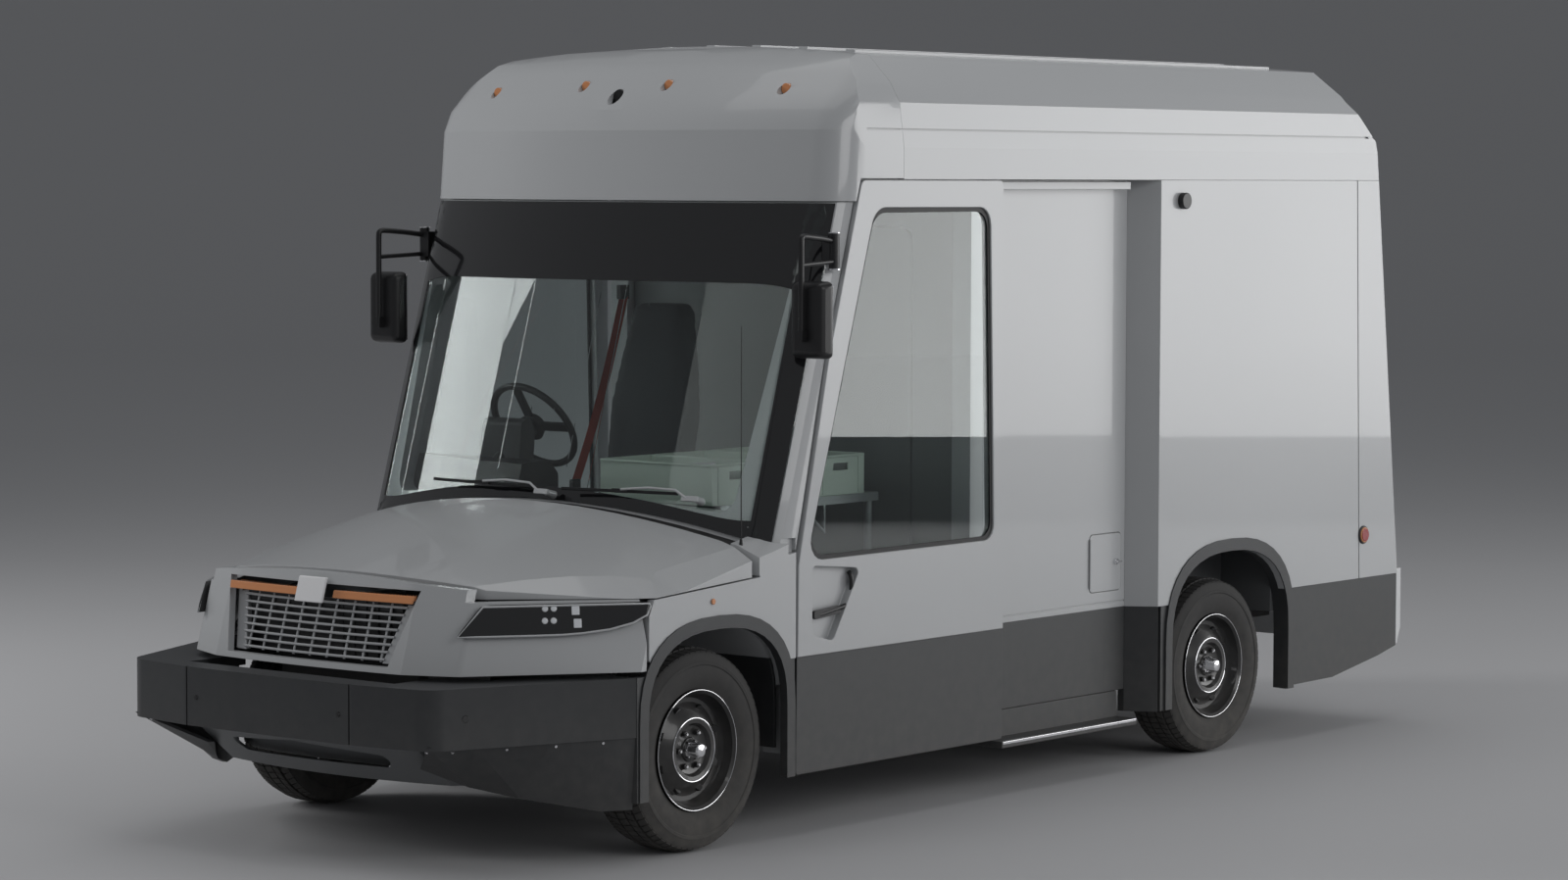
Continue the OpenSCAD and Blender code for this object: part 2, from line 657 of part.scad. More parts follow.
module marker_lamps() color("orange") {
    both_sides() {
        // amber strips above the grille
        intersection() {
            difference() {
                leaning(nose_plan(-2), nose_z0, 990, rake);
                leaning(nose_plan(7.5), nose_z0 - 2, 992, rake);
            }
            front_plate([[90, 938], [grille_half + 32, 938], [grille_half + 38, 966], [90, 966]], front_y, front_y + 330);
        }
        translate([half_w, rear_y - 347, 860]) rotate([0, 90, 0]) cylinder(h = 12, r = 34);
        translate([half_w, axle_f + 17, 915]) rotate([0, 90, 0]) cylinder(h = 7, r = 11);
    }
    roof_lamp_spots() cylinder(h = 38, r = 22);
}

// ---- Bumpers ----

function bumper_plan(t) = both(concat(bow(430, front_y + t, 6),
    corner([430, front_y + 6 + t], [752 - t, front_y + 52 + t], [half_w - t, front_y + 796], 110, 6),
    [[half_w - t, front_y + 796], [0, front_y + 796]]));

beam_z0 = 463;
beam_z1 = 676;
// Corner skirts under the beam: [x, y] of the top edge, then the bottom edge, then the wall's inward step
skirt = [[[742, front_y + 56], [540, front_y + 227, 366], [-14, 20]],
    [[812, front_y + 210], [660, front_y + 347, 300], [-22, 12]],
    [[923, front_y + 478], [785, front_y + 477, 257], [-24, 6]],
    [[1014, front_y + 699], [967, front_y + 697, 203], [-24, 4]],
    [[half_w - 5, front_y + 794], [half_w - 26, front_y + 794, 205], [-24, 2]]];

module skirt_piece(a, b) hull()
    polyhedron([for (c = [a, b]) for (k = [0, 1])
        each [[c[0][0] + k * c[2][0], c[0][1] + k * c[2][1], beam_z0 + 14],
              [c[1][0] + k * c[2][0], c[1][1] + k * c[2][1], c[1][2]]]],
        [[0, 1, 3, 2], [4, 6, 7, 5], [0, 4, 5, 1], [2, 3, 7, 6], [0, 2, 6, 4], [1, 5, 7, 3]]);

module front_bumper() color("darkslategray") {
    difference() {
        translate([0, 0, beam_z0]) linear_extrude(beam_z1 - beam_z0) polygon(bumper_plan(0));
        translate([0, 0, beam_z0 - 1]) linear_extrude(beam_z1 - beam_z0 - 37) polygon(bumper_plan(38));
        box(-520, 520, front_y + 120, front_y + 797, 0, 700);
        box(-720, 720, front_y + 400, front_y + 797, 0, 700);
        // seams either side of the centre section
        both_sides() box(409, 415, front_y - 1, front_y + 20, 460, 680);
    }
    both_sides() {
        for (i = [0:len(skirt) - 2]) skirt_piece(skirt[i], skirt[i + 1]);
        // lip round the front arch
        difference() {
            union() {
                side_plate(arch(arch_f, arch_half_f - 1, arch_z, tyre_r * 2 + arch_gap_front - 1, sill_z), half_w - 28, half_w + 6);
                side_plate(arch(arch_f, arch_half_f + 7, arch_z, tyre_r * 2 + arch_gap_front + 7, sill_z), half_w + 0.5, half_w + 6);
            }
            side_plate(arch(arch_f, arch_half_f - 40, arch_z, tyre_r * 2 + arch_gap_front - 42, 0), half_w - 60, half_w + 7);
            box(0, half_w + 10, front_y, front_y + 797, 0, beam_z1 + 2);
        }
        box(half_w - 28, half_w, front_y + 790, arch_f - arch_half_f + 38, sill_z, beam_z1);
    }
}

module valance() color("gray") {
    difference() {
        intersection() {
            leaning(both(concat(bow(560, front_y + 300, 70), [[640, front_y + 470], [0, front_y + 470]])), 292, 461, -1.2);
            box(-half_w, half_w, front_y + 40, front_y + 470, 292, 461);
        }
        translate([0, 26, -4]) leaning(both(concat(bow(540, front_y + 300, 70), [[600, front_y + 520], [0, front_y + 520]])),
            290, 470, -1.2);
        // intake
        front_plate(rounded(both([[0, 352], [360, 352], [420, 400], [0, 430]]), [0, 20, 20, 0, 0, 20, 20, 0]), front_y, front_y + 470);
    }
    // intake mesh
    intersection() {
        translate([0, 10, 0])
            leaning(both(concat(bow(540, front_y + 300, 70), [[540, front_y + 386], [0, front_y + 316]])), 340, 440, -1.2);
        box(-430, 430, front_y, front_y + 470, 345, 436);
    }
}

module rear_bumper() color("lightgray") {
    difference() {
        box(-half_w + 8, half_w - 8, rear_y - 45, rear_y, 345, 688);
        side_plate([[rear_y - 60, 300], [rear_y + 1, 300], [rear_y + 1, 420], [rear_y - 30, 344]], -half_w, half_w);
    }
    both_sides() box(395, 465, rear_y - 119, rear_y - 46, 455, 545);
}

module tail_lamps() color("red") both_sides() {
    z0 = 760;
    multmatrix([[1, 0, 0, 0], [0, 1, -tail_rake, tail_rake * z0], [0, 0, 1, 0]])
        box(half_w - 110, half_w - 40, tail_y(z0) + 0.5, tail_y(z0) + 14, z0, z0 + 420);
}

module cameras() color("black") {
    translate([0, camera_y + 30, camera_z]) rotate([90, 0, 0]) cylinder(h = 72, r = 30);
    both_sides() translate([half_w + 0.3, post_y1 + 155, door_top_z - 87]) rotate([0, 90, 0]) cylinder(h = 26, r = 34);
}

// ---- Inside ----

// Steering wheel: middle, tilt and axis
wheel_pos = [seat_x, screen_y + 508, 1462];
wheel_tilt = 56;
wheel_axis = [0, sin(wheel_tilt), cos(wheel_tilt)];

module bulkhead() color("gray") {
    y = door_y1 - 30;
    difference() {
        front_plate(rounded(both([[0, floor_z + 1], [wall_x - 95, floor_z + 1], [wall_x - 95, door_top_z - 60], [0, door_top_z - 60]]),
            [0, 0, 60, 0, 0, 60, 0, 0]), y, y + 25);
        front_plate(rounded([[80, floor_z + 60], [620, floor_z + 60], [620, 2250], [80, 2250]], 60), y - 1, y + 26);
    }
    front_plate(rounded([[88, floor_z + 68], [612, floor_z + 68], [612, 2242], [88, 2242]], 55), y + 4, y + 20);
}

module dashboard() color("dimgray") difference() {
    union() {
        intersection() {
            side_plate(rounded([[screen_y + 90, 700], [screen_y + 90, 1150], [screen_y + 200, 1165], [screen_y + 420, 1120],
                [screen_y + 430, 900], [screen_y + 300, 700]], [0, 0, 40, 60, 60, 20]), -880, 880);
            union() {
                leaning(cab_plan(frame_t + 3), 600, cowl_z + eps, 0);
                cab_stack(frame_t + 3, 0, 1);
            }
        }
        // raised section in front of the driver, with the instrument pod
        intersection() {
            side_plate(rounded([[screen_y + 110, 1100], [screen_y + 160, 1335], [screen_y + 330, 1345], [screen_y + 385, 1290],
                [screen_y + 385, 1100]], [0, 40, 50, 30, 0]), -860, -190);
            cab_stack(frame_t + 3, 0, 1);
        }
        side_plate(rounded([[screen_y + 300, 1250], [screen_y + 320, 1490], [screen_y + 372, 1500], [screen_y + 400, 1440],
            [screen_y + 380, 1250]], [0, 30, 20, 20, 0]), seat_x - 105, seat_x + 105);
        bar(wheel_pos - wheel_axis * 260, wheel_pos - wheel_axis * 21, 32);
    }
    box(200, 700, screen_y + 330, screen_y + 440, 930, 1060);
    front_wells();
}

seat_y = door_y0 + 330;
seat_z = floor_z + 398;          // top of the seat's frame

module seat_base() color("black") {
    box(seat_x - 190, seat_x + 190, seat_y + 20, seat_y + 440, floor_z + 1, floor_z + 40);
    box(seat_x - 150, seat_x + 150, seat_y + 60, seat_y + 400, floor_z + 40, seat_z - 38);
    box(seat_x - 215, seat_x + 215, seat_y, seat_y + 470, seat_z - 38, seat_z);
}

module seat_cushion() color("dimgray")
    side_plate(rounded([[seat_y - 10, seat_z + 1], [seat_y - 20, seat_z + 115], [seat_y + 90, seat_z + 130],
        [seat_y + 455, seat_z + 105], [seat_y + 470, seat_z + 1]], [20, 45, 60, 30, 20]), seat_x - seat_w / 2, seat_x + seat_w / 2);

// One high back, leaning away from the wheel
module seat_back() color("dimgray") multmatrix([[1, 0, 0, 0], [0, 1, 0.14, -0.14 * seat_z], [0, 0, 1, 0]])
    translate([seat_x, 0, 0]) front_plate(rounded([[-200, seat_z + 15], [200, seat_z + 15], [218, seat_z + 500],
        [180, seat_z + 720], [125, seat_z + 940], [-125, seat_z + 940], [-180, seat_z + 720], [-218, seat_z + 500]],
        [30, 30, 90, 90, 60, 60, 90, 90]), seat_y + 474, seat_y + 574);

// Shoulder belt from the pillar to its buckle stalk beside the seat
module seat_belt() color("red") {
    top = [-wall_x + 108, door_y1 - 115, 1940];
    low = [seat_x - 265, seat_y + 400, 1190];
    d = top - low;
    translate(low) rotate([0, acos(d[2] / norm(d)), atan2(d[1], d[0])])
        translate([-2, -24, 0]) cube([4, 48, norm(d)]);
    box(-wall_x + 91, -wall_x + 118, door_y1 - 140, door_y1 - 85, 1930, 1990);
    box(seat_x - 278, seat_x - 252, seat_y + 375, seat_y + 425, floor_z + 1, 1205);
}

shelf_y0 = door_y0 + 77;
shelf_y1 = shelf_y0 + 970;
shelf_x0 = 30;
shelf_x1 = 625;
shelf_z = 1203;
tray_count = 3;
tray_pitch = tray_w + 14;

module tray_shelf() color("silver") {
    box(shelf_x0, shelf_x1, shelf_y0, shelf_y1, shelf_z - 34, shelf_z);
    box(shelf_x0, shelf_x0 + 12, shelf_y0, shelf_y1, shelf_z, shelf_z + 45);
    for (x = [shelf_x0 + 30, shelf_x1 - 30])
        for (y = [shelf_y0 + 60, shelf_y1 - 30])
            translate([x, y, floor_z + 1]) cylinder(h = shelf_z - 34 - floor_z, r = 16, $fn = 24);
    for (y = [shelf_y0 + 48, shelf_y1 - 42])
        box(shelf_x0 + 40, shelf_x1 - 40, y, y + 24, 820, 840);
    // brace under the outer edge
    bar([shelf_x1 - 14, shelf_y0 + 500, shelf_z - 30], [shelf_x1 - 14, shelf_y0 + 640, shelf_z - 140], 7);
    bar([shelf_x1 - 14, shelf_y0 + 640, shelf_z - 30], [shelf_x1 - 14, shelf_y0 + 640, shelf_z - 146], 7);
}

// Trays stand crosswise on the shelf, one behind the other, the first past the shelf's front edge
module mail_trays() color("white")
    for (k = [0:tray_count - 1])
        translate([shelf_x1 - tray_l / 2, shelf_y0 - 50 + k * tray_pitch, shelf_z + 0.3]) difference() {
            box(-tray_l / 2, tray_l / 2, 0, tray_w, 0, tray_h);
            box(-tray_l / 2 + tray_t, tray_l / 2 - tray_t, tray_t, tray_w - tray_t, tray_t, tray_h + 1);
            for (s = [-1, 1])
                translate([s * tray_l / 2 - 20, tray_w / 2 - 45, tray_h - 58]) cube([40, 90, 28]);
        }

// ---- Doors ----

window_pts = [[door_y0 + 57, 1022], [door_y1 - 66, 1025], [door_y1 - 100, 2327], [door_y0 + 464, 2329]];
recess_pts = [[door_y0 + 91, 1002], [door_y0 + 94, 745], [door_y0 + 217, 712], [door_y0 + 380, 975]];

// Outline of a cab door, drawn in by t
function door_pts(t) = [[door_y0 + t, sill_z], [door_y1 - t, sill_z], [door_y1 - 15 - t, door_top_z - 3],
    [door_y0 + 383 + t, door_top_z - 3], [door_y0 + 185 + t, 1763], [door_y0 + 10 + t, 1009]];

module door() {
    difference() {
        side_plate(rounded(door_pts(0), [12, 12, 20, 30, 0, 0]), door_x, half_w);
        side_plate(rounded(window_pts, [70, 60, 70, 90]), door_x - 1, half_w + 1);
        // hollow inner face, leaving a frame and the belt rail
        side_plate(rounded([[door_y0 + 70, sill_z + 70], [door_y1 - 70, sill_z + 70], [door_y1 - 70, 940], [door_y0 + 70, 940]], 40),
            door_x - 1, door_x + 10);
        // pull recess
        side_plate(rounded(recess_pts, [20, 30, 30, 20]), half_w - 34, half_w + 1);
        // cladding steps in from the painted skin
        box(half_w - 4, half_w + 1, door_y0 - 1, door_y1 + 1, 0, belt_z);
    }
}
module door_left() color("white") door();
module door_right() color("white") mirror([1, 0, 0]) door();

module door_glass()
    side_plate(rounded(window_pts, [70, 60, 70, 90]), half_w - 20, half_w - 20 + glass_t);

module door_glass_left() color("lightskyblue", 0.5) door_glass();
module door_glass_right() color("lightskyblue", 0.5) mirror([1, 0, 0]) door_glass();

module door_handle() {
    side_plate(rounded([[door_y0 + 108, 800], [door_y0 + 108, 832], [door_y0 + 260, 842], [door_y0 + 272, 812]], 10), half_w - 16, half_w - 4);
    box(half_w - 34, half_w - 15.5, door_y0 + 112, door_y0 + 134, 804, 828);
    box(half_w - 34, half_w - 15.5, door_y0 + 232, door_y0 + 254, 812, 834);
}
module door_handle_left() color("black") door_handle();
module door_handle_right() color("black") mirror([1, 0, 0]) door_handle();

// Rear doors hang on the tail's corner posts and lean with it
module rear_door() {
    rear_leaf();
    for (z = [belt_z + 130, 1500, door_top_z - 180])
        translate([rear_hinge_x - 91, rear_y - 42 - tail_rake * (z - belt_z), z]) rotate([atan(tail_rake), 0, 0])
            cylinder(h = 90, r = 7.5);
}
module rear_leaf() multmatrix([[1, 0, 0, 0], [0, 1, -tail_rake, tail_rake * belt_z], [0, 0, 1, 0]]) {
    y1 = tail_y(belt_z);
    difference() {
        box(shut_gap / 2, rear_hinge_x - 98, y1 - rear_door_t, y1, belt_z + 34, door_top_z - 10);
        box(90, rear_hinge_x - 190, y1 - rear_door_t - 1, y1 - 14, belt_z + 130, 1560);
        front_plate(rounded([[150, 1640], [rear_hinge_x - 250, 1640], [rear_hinge_x - 250, 2240], [150, 2240]], 50),
            y1 - rear_door_t - 1, y1 - 14);
    }
    for (z = [belt_z + 130, 1500, door_top_z - 180])
        box(rear_hinge_x - 160, rear_hinge_x - 92, y1 - 1, y1 + 6, z, z + 90);
}
module rear_door_left() color("white") rear_door();
module rear_door_right() color("white") mirror([1, 0, 0]) rear_door();

module fuel_flap() color("white") {
    g = 3;
    side_plate(rounded([[flap_y0 + g, flap_z0 + g], [flap_y1 - g, flap_z0 + g], [flap_y1 - g, flap_z1 - g], [flap_y0 + g, flap_z1 - g]], 19),
        wall_x - 9, wall_x + 1);
    translate([wall_x + 0.5, flap_y1 - 40, 860]) rotate([0, 90, 0]) cylinder(h = 6, r = 14);
    // hinge barrel and its leaf
    translate([wall_x + 5, flap_y0, flap_z0 + 20]) cylinder(h = flap_z1 - flap_z0 - 40, r = 4);
    box(wall_x + 0.5, wall_x + 4, flap_y0, flap_y0 + 24, flap_z0 + 20, flap_z1 - 20);
}

mirror_y = axle_f + 721;
module mirror_arm() {
    a = [half_w - 4, mirror_y, 2196];
    bar(a, [half_w + 20, mirror_y - 232, 2226], 13);
    translate([half_w + 20, mirror_y - 232, 2226]) sphere(r = 14, $fn = 24);
    bar([half_w + 20, mirror_y - 232, 2226], [half_w + 25, mirror_y - 232, 1850], 13);
    translate([half_w - 4, mirror_y, 2166]) cylinder(h = 60, r = 22);
    side_plate(rounded([[mirror_y - 218, 1767], [mirror_y - 205, 2066], [mirror_y - 130, 2056], [mirror_y - 140, 1777]], [18, 18, 30, 30]),
        half_w - 60, half_w + 120);
}
module mirror_left() color("black") mirror_arm();
module mirror_right() color("black") mirror([1, 0, 0]) mirror_arm();

// Wiper with its spindle at x and its blade towards the vehicle's right
module wiper(x, l) {
    yaw = asin((x - l / 2) / 3000);
    y = screen_y + 3000 - 3000 * cos(yaw) + tan(yaw) * l / 2;
    translate([x, y + rake * 150 - 8, cowl_z + 168]) rotate([0, 0, yaw]) rotate([-atan(rake), 0, 0]) {
        translate([0, 10, 0]) rotate([90, 0, 0]) cylinder(h = 55, r = 16);
        translate([-l * 0.5, -45, 6]) cube([l * 0.5, 10, 26]);
        translate([-l, -38, 14]) cube([l * 0.86, 14, 14]);
    }
}
module wiper_left() color("black") wiper(760, 600);
module wiper_right() color("black") wiper(110, 640);

module steering_wheel() color("black") translate(wheel_pos) rotate([-wheel_tilt, 0, 0]) {
    rotate_extrude() translate([wheel_r - 15, 0]) circle(r = 15);
    cylinder(h = 40, r = 55, center = true);
    for (a = [0, 180, 270])
        rotate([0, 0, a]) translate([45, -18, -8]) cube([wheel_r - 62, 36, 16]);
}

// ---- Wheels ----

module at_wheel(s, y) translate([s * wheel_x, y, tyre_r]) rotate([0, s * 90, 0]) children();

// Tyre about its own Z axis, +Z towards the outside
module tyre() {
    h = tyre_w / 2;
    rotate_extrude($fn = 96) polygon(rounded([[rim_r + 1, -h + 22], [rim_r + 60, -h], [tyre_r - 48, -h + 4], [tyre_r, -h + 34],
        [tyre_r, h - 34], [tyre_r - 48, h - 4], [rim_r + 60, h], [rim_r + 1, h - 22], [rim_r + 1, h - 40], [rim_r + 1, -h + 40]],
        [0, 20, 24, 26, 26, 24, 20, 0, 0, 0]));
}

module rim() {
    h = tyre_w / 2;
    difference() {
        rotate_extrude($fn = 96) polygon([[rim_r + 0.7, -h + 16], [rim_r + 0.7, h - 16], [rim_r - 12, h - 14], [rim_r - 30, h - 60],
            [170, h - 62], [118, h - 26], [90, h - 26], [62, h - 50], [62, h + 6], [0, h + 12], [0, h - 66],
            [84, h - 66], [160, h - 82], [rim_r - 40, h - 82], [rim_r - 14, -h + 20]]);
        for (a = [0:45:315])
            rotate([0, 0, a + 22.5]) translate([145, 0, 0]) cylinder(h = 200, r = 16, $fn = 20);
    }
    for (a = [0:60:300])
        rotate([0, 0, a]) translate([88, 0, h - 40]) cylinder(h = 30, r = 11, $fn = 6);
}

module tyre_front_left() color("black") at_wheel(1, axle_f) tyre();
module tyre_front_right() color("black") at_wheel(-1, axle_f) tyre();
module tyre_rear_left() color("black") at_wheel(1, axle_r) tyre();
module tyre_rear_right() color("black") at_wheel(-1, axle_r) tyre();
module rim_front_left() color("silver") at_wheel(1, axle_f) rim();
module rim_front_right() color("silver") at_wheel(-1, axle_f) rim();
module rim_rear_left() color("silver") at_wheel(1, axle_r) rim();
module rim_rear_right() color("silver") at_wheel(-1, axle_r) rim();

// Steered upright with its brake disc
module hub() {
    h = tyre_w / 2;
    translate([0, 0, -h - 20]) cylinder(h = h + 20 + h - 70, r = 40);
    translate([0, 0, -h + 8]) cylinder(h = 24, r = 150);
    translate([-60, -35, -h - 60]) cube([120, 70, 66]);
}
module kingpin(s) translate([s * 800, axle_f, tyre_r - 78]) cylinder(h = 156, r = 15);
module hub_left() color("dimgray") {
    at_wheel(1, axle_f) hub();
    kingpin(1);
}
module hub_right() color("dimgray") {
    at_wheel(-1, axle_f) hub();
    kingpin(-1);
}

ladder_frame();
front_subframe();
rear_axle();
leaf_springs();
fuel_tank();
engine();
radiator();
floor();
cab_frame();
side_left();
side_right();
mid_panels();
rear_cladding();
roof_panel();
roof_cap();
windscreen();
cowl();
fenders();
front_panel();
grille();
headlamps();
marker_lamps();
front_bumper();
valance();
rear_bumper();
tail_lamps();
cameras();
bulkhead();
dashboard();
seat_base();
seat_cushion();
seat_back();
seat_belt();
tray_shelf();
mail_trays();
door_left();
door_right();
door_glass_left();
door_glass_right();
door_handle_left();
door_handle_right();
hood();
rear_door_left();
rear_door_right();
fuel_flap();
mirror_left();
mirror_right();
wiper_left();
wiper_right();
steering_wheel();
hub_left();
hub_right();
tyre_front_left();
tyre_front_right();
tyre_rear_left();
tyre_rear_right();
rim_front_left();
rim_front_right();
rim_rear_left();
rim_rear_right();
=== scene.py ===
# %% [markdown]
# # A mail delivery truck, cell by cell
# The truck's frame, panels, wheels and joints arrive as fixed CAD solids. This notebook gives each
# of them its finish, and builds the finer pieces that a solid model leaves out: tyre treads, lamp
# units, mirror glass, seals, wipers, upholstery and the things inside the cab.

# %% Load the frame
import json
from math import asin, atan, cos, pi, radians, sin
from math import tan as math_tan

import bmesh
import bpy
from mathutils import Matrix, Vector
from mathutils.bvhtree import BVHTree


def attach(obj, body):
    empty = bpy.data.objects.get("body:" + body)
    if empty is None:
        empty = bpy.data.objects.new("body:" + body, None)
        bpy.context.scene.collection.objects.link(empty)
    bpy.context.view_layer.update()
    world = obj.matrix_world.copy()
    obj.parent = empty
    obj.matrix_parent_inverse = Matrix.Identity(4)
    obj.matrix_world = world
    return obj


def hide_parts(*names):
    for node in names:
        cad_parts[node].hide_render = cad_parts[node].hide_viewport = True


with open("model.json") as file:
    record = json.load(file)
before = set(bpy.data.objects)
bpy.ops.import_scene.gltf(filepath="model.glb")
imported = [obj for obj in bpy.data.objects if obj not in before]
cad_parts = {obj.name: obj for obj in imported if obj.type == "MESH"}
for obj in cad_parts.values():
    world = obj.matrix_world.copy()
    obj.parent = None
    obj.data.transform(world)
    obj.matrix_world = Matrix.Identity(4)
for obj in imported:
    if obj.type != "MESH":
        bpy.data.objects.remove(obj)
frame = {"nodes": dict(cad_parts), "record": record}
nodes = frame["nodes"]
body_of_node = {n: b for b, ns in frame["record"]["behaviour"]["bodies"].items() for n in ns}
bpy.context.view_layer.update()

# %% [markdown]
# The view comes first, because it says which sides need the most work. The camera stands well back
# with a long lens, a little under the roof line, off the truck's front left corner. Its place is
# given from the truck's own middle, and the small last turn levels the horizon of a hand-set tripod.

# %% Camera
EYE = Vector((10.527, -13.093, 2.438))
HEADING, DIP, TILT = 39.04, 3.65, 0.155
camera = bpy.data.objects.new("camera", bpy.data.cameras.new("camera"))
bpy.context.scene.collection.objects.link(camera)
camera.data.lens = 94.19
camera.data.clip_end = 200
camera.matrix_world = (Matrix.Translation(EYE) @ Matrix.Rotation(radians(HEADING), 4, "Z")
                       @ Matrix.Rotation(radians(90 - DIP), 4, "X")
                       @ Matrix.Rotation(radians(TILT), 4, "Z"))
bpy.context.scene.camera = camera

# %% [markdown]
# A studio floor is one large sheet that curves up far behind the truck, so that no edge shows.
# Broad area lights act as soft boxes. The largest stands upright off the left side, where the door
# glass and the paint reflect it, because large smooth panels are only as good as what they reflect.

# %% Floor and lights
def new_object(name, mesh):
    obj = bpy.data.objects.new(name, mesh)
    bpy.context.scene.collection.objects.link(obj)
    return obj


def floor_sheet():
    """A flat sheet whose far strip, behind the truck as the camera sees it, is turned up in a bend."""
    bm = bmesh.new()
    bmesh.ops.create_grid(bm, x_segments=1, y_segments=1, size=40)
    far = [e for e in bm.edges if all(v.co.y > 0 for v in e.verts)]
    for _ in range(12):
        strip = bmesh.ops.extrude_edge_only(bm, edges=far)["geom"]
        verts = [g for g in strip if isinstance(g, bmesh.types.BMVert)]
        far = [g for g in strip if isinstance(g, bmesh.types.BMEdge)]
        bmesh.ops.translate(bm, vec=(0, 2.5, 0), verts=verts)
        bmesh.ops.rotate(bm, cent=(0, 40, 18), matrix=Matrix.Rotation(radians(7), 3, "X"), verts=verts)
    bmesh.ops.recalc_face_normals(bm, faces=bm.faces)
    bmesh.ops.rotate(bm, cent=(0, 0, 0), matrix=Matrix.Rotation(radians(HEADING), 3, "Z"), verts=bm.verts)
    mesh = bpy.data.meshes.new("floor")
    bm.to_mesh(mesh)
    bm.free()
    mesh.shade_smooth()
    return new_object("studio_floor", mesh)


def soft_box(name, place, target, size, watts, tint=(1, 1, 1)):
    light = bpy.data.lights.new(name, "AREA")
    light.shape = "RECTANGLE"
    light.size, light.size_y = size
    light.energy = watts
    light.color = tint
    obj = new_object(name, light)
    obj.location = place
    obj.rotation_euler = (Vector(target) - Vector(place)).to_track_quat("-Z", "Y").to_euler()
    return obj


floor = floor_sheet()
MIDDLE = (0, 0, 1.3)
soft_box("side_box", (10, 9.5, 3.7), (1, -0.5, 3.7), (13, 6.2), 760)
soft_box("fill_box", (12, -3, 6), MIDDLE, (5, 5), 220)
soft_box("top_box", (0, 1, 9), MIDDLE, (6, 10), 150)
for lamp in (soft_box("front_box", (-1, -13, 6), MIDDLE, (6, 5), 130),
             soft_box("rim_box", (-9, -5, 5), MIDDLE, (3, 5), 420)):
    lamp.visible_glossy = False
world = bpy.data.worlds.new("studio")
world.use_nodes = True
world.node_tree.nodes["Background"].inputs["Color"].default_value = (0.74, 0.76, 0.79, 1)
world.node_tree.nodes["Background"].inputs["Strength"].default_value = 0.24
bpy.context.scene.world = world
bpy.context.scene.view_settings.view_transform = "Standard"

# %% [markdown]
# Every finish on a working truck has the same three habits: its colour wanders a little, road dust
# gathers low down, and its surface has a fine grain. One node group holds those habits, with an
# input for each, and every material places it with its own values.

# %% The surface-film group
def socket_in(tree, name, kind, value):
    s = tree.interface.new_socket(name, in_out="INPUT", socket_type=kind)
    s.default_value = value


def math_node(tree, op, a, b, clamp=False):
    n = tree.nodes.new("ShaderNodeMath")
    n.operation = op
    n.use_clamp = clamp
    for i, v in enumerate((a, b)):
        if isinstance(v, (int, float)):
            n.inputs[i].default_value = v
        else:
            tree.links.new(v, n.inputs[i])
    return n.outputs[0]


def noise_node(tree, vector, scale, detail=3.0):
    n = tree.nodes.new("ShaderNodeTexNoise")
    n.inputs["Detail"].default_value = detail
    tree.links.new(vector, n.inputs["Vector"])
    if isinstance(scale, (int, float)):
        n.inputs["Scale"].default_value = scale
    else:
        tree.links.new(scale, n.inputs["Scale"])
    return n.outputs["Fac"]


def mix_color(tree, factor, a, b, blend="MIX"):
    n = tree.nodes.new("ShaderNodeMix")
    n.data_type = "RGBA"
    n.blend_type = blend
    tree.links.new(factor, n.inputs["Factor"])
    for key, v in (("A", a), ("B", b)):
        s = [i for i in n.inputs if i.name == key and i.type == "RGBA"][0]
        if isinstance(v, tuple):
            s.default_value = v
        else:
            tree.links.new(v, s)
    return [o for o in n.outputs if o.type == "RGBA"][0]


def film_group():
    g = bpy.data.node_groups.new("surface_film", "ShaderNodeTree")
    socket_in(g, "Place", "NodeSocketVector", (0, 0, 0))
    socket_in(g, "Base Color", "NodeSocketColor", (0.5, 0.5, 0.5, 1))
    socket_in(g, "Dust Color", "NodeSocketColor", (0.30, 0.28, 0.25, 1))
    for name, value in (("Variation", 0.06), ("Patch Scale", 1.5), ("Dust", 0.1), ("Dust Top", 0.8),
                        ("Roughness", 0.4), ("Roughness Spread", 0.08), ("Grain Scale", 400.0)):
        socket_in(g, name, "NodeSocketFloat", value)
    for name, kind in (("Color", "NodeSocketColor"), ("Roughness", "NodeSocketFloat"),
                       ("Height", "NodeSocketFloat")):
        g.interface.new_socket(name, in_out="OUTPUT", socket_type=kind)
    enter = g.nodes.new("NodeGroupInput").outputs
    leave = g.nodes.new("NodeGroupOutput").inputs
    patch = noise_node(g, enter["Place"], enter["Patch Scale"], 5.0)
    shade = math_node(g, "ADD", 1.0, math_node(g, "MULTIPLY", math_node(g, "SUBTRACT", patch, 0.5),
                                               enter["Variation"]))
    tone = g.nodes.new("ShaderNodeCombineColor")
    for s in tone.inputs:
        g.links.new(shade, s)
    one = g.nodes.new("ShaderNodeValue")
    one.outputs[0].default_value = 1.0
    varied = mix_color(g, one.outputs[0], enter["Base Color"], tone.outputs[0], "MULTIPLY")
    split = g.nodes.new("ShaderNodeSeparateXYZ")
    g.links.new(enter["Place"], split.inputs[0])
    low = math_node(g, "SUBTRACT", 1.0, math_node(g, "DIVIDE", split.outputs["Z"], enter["Dust Top"]), True)
    specks = noise_node(g, enter["Place"], 22.0, 6.0)
    dust = math_node(g, "MULTIPLY", math_node(g, "MULTIPLY", low, specks), enter["Dust"], True)
    g.links.new(mix_color(g, dust, varied, enter["Dust Color"]), leave["Color"])
    fine = noise_node(g, enter["Place"], enter["Grain Scale"], 2.0)
    spread = math_node(g, "MULTIPLY", math_node(g, "SUBTRACT", patch, 0.5), enter["Roughness Spread"])
    rough = math_node(g, "ADD", math_node(g, "ADD", enter["Roughness"], spread), dust, True)
    g.links.new(rough, leave["Roughness"])
    g.links.new(fine, leave["Height"])
    return g


FILM = film_group()

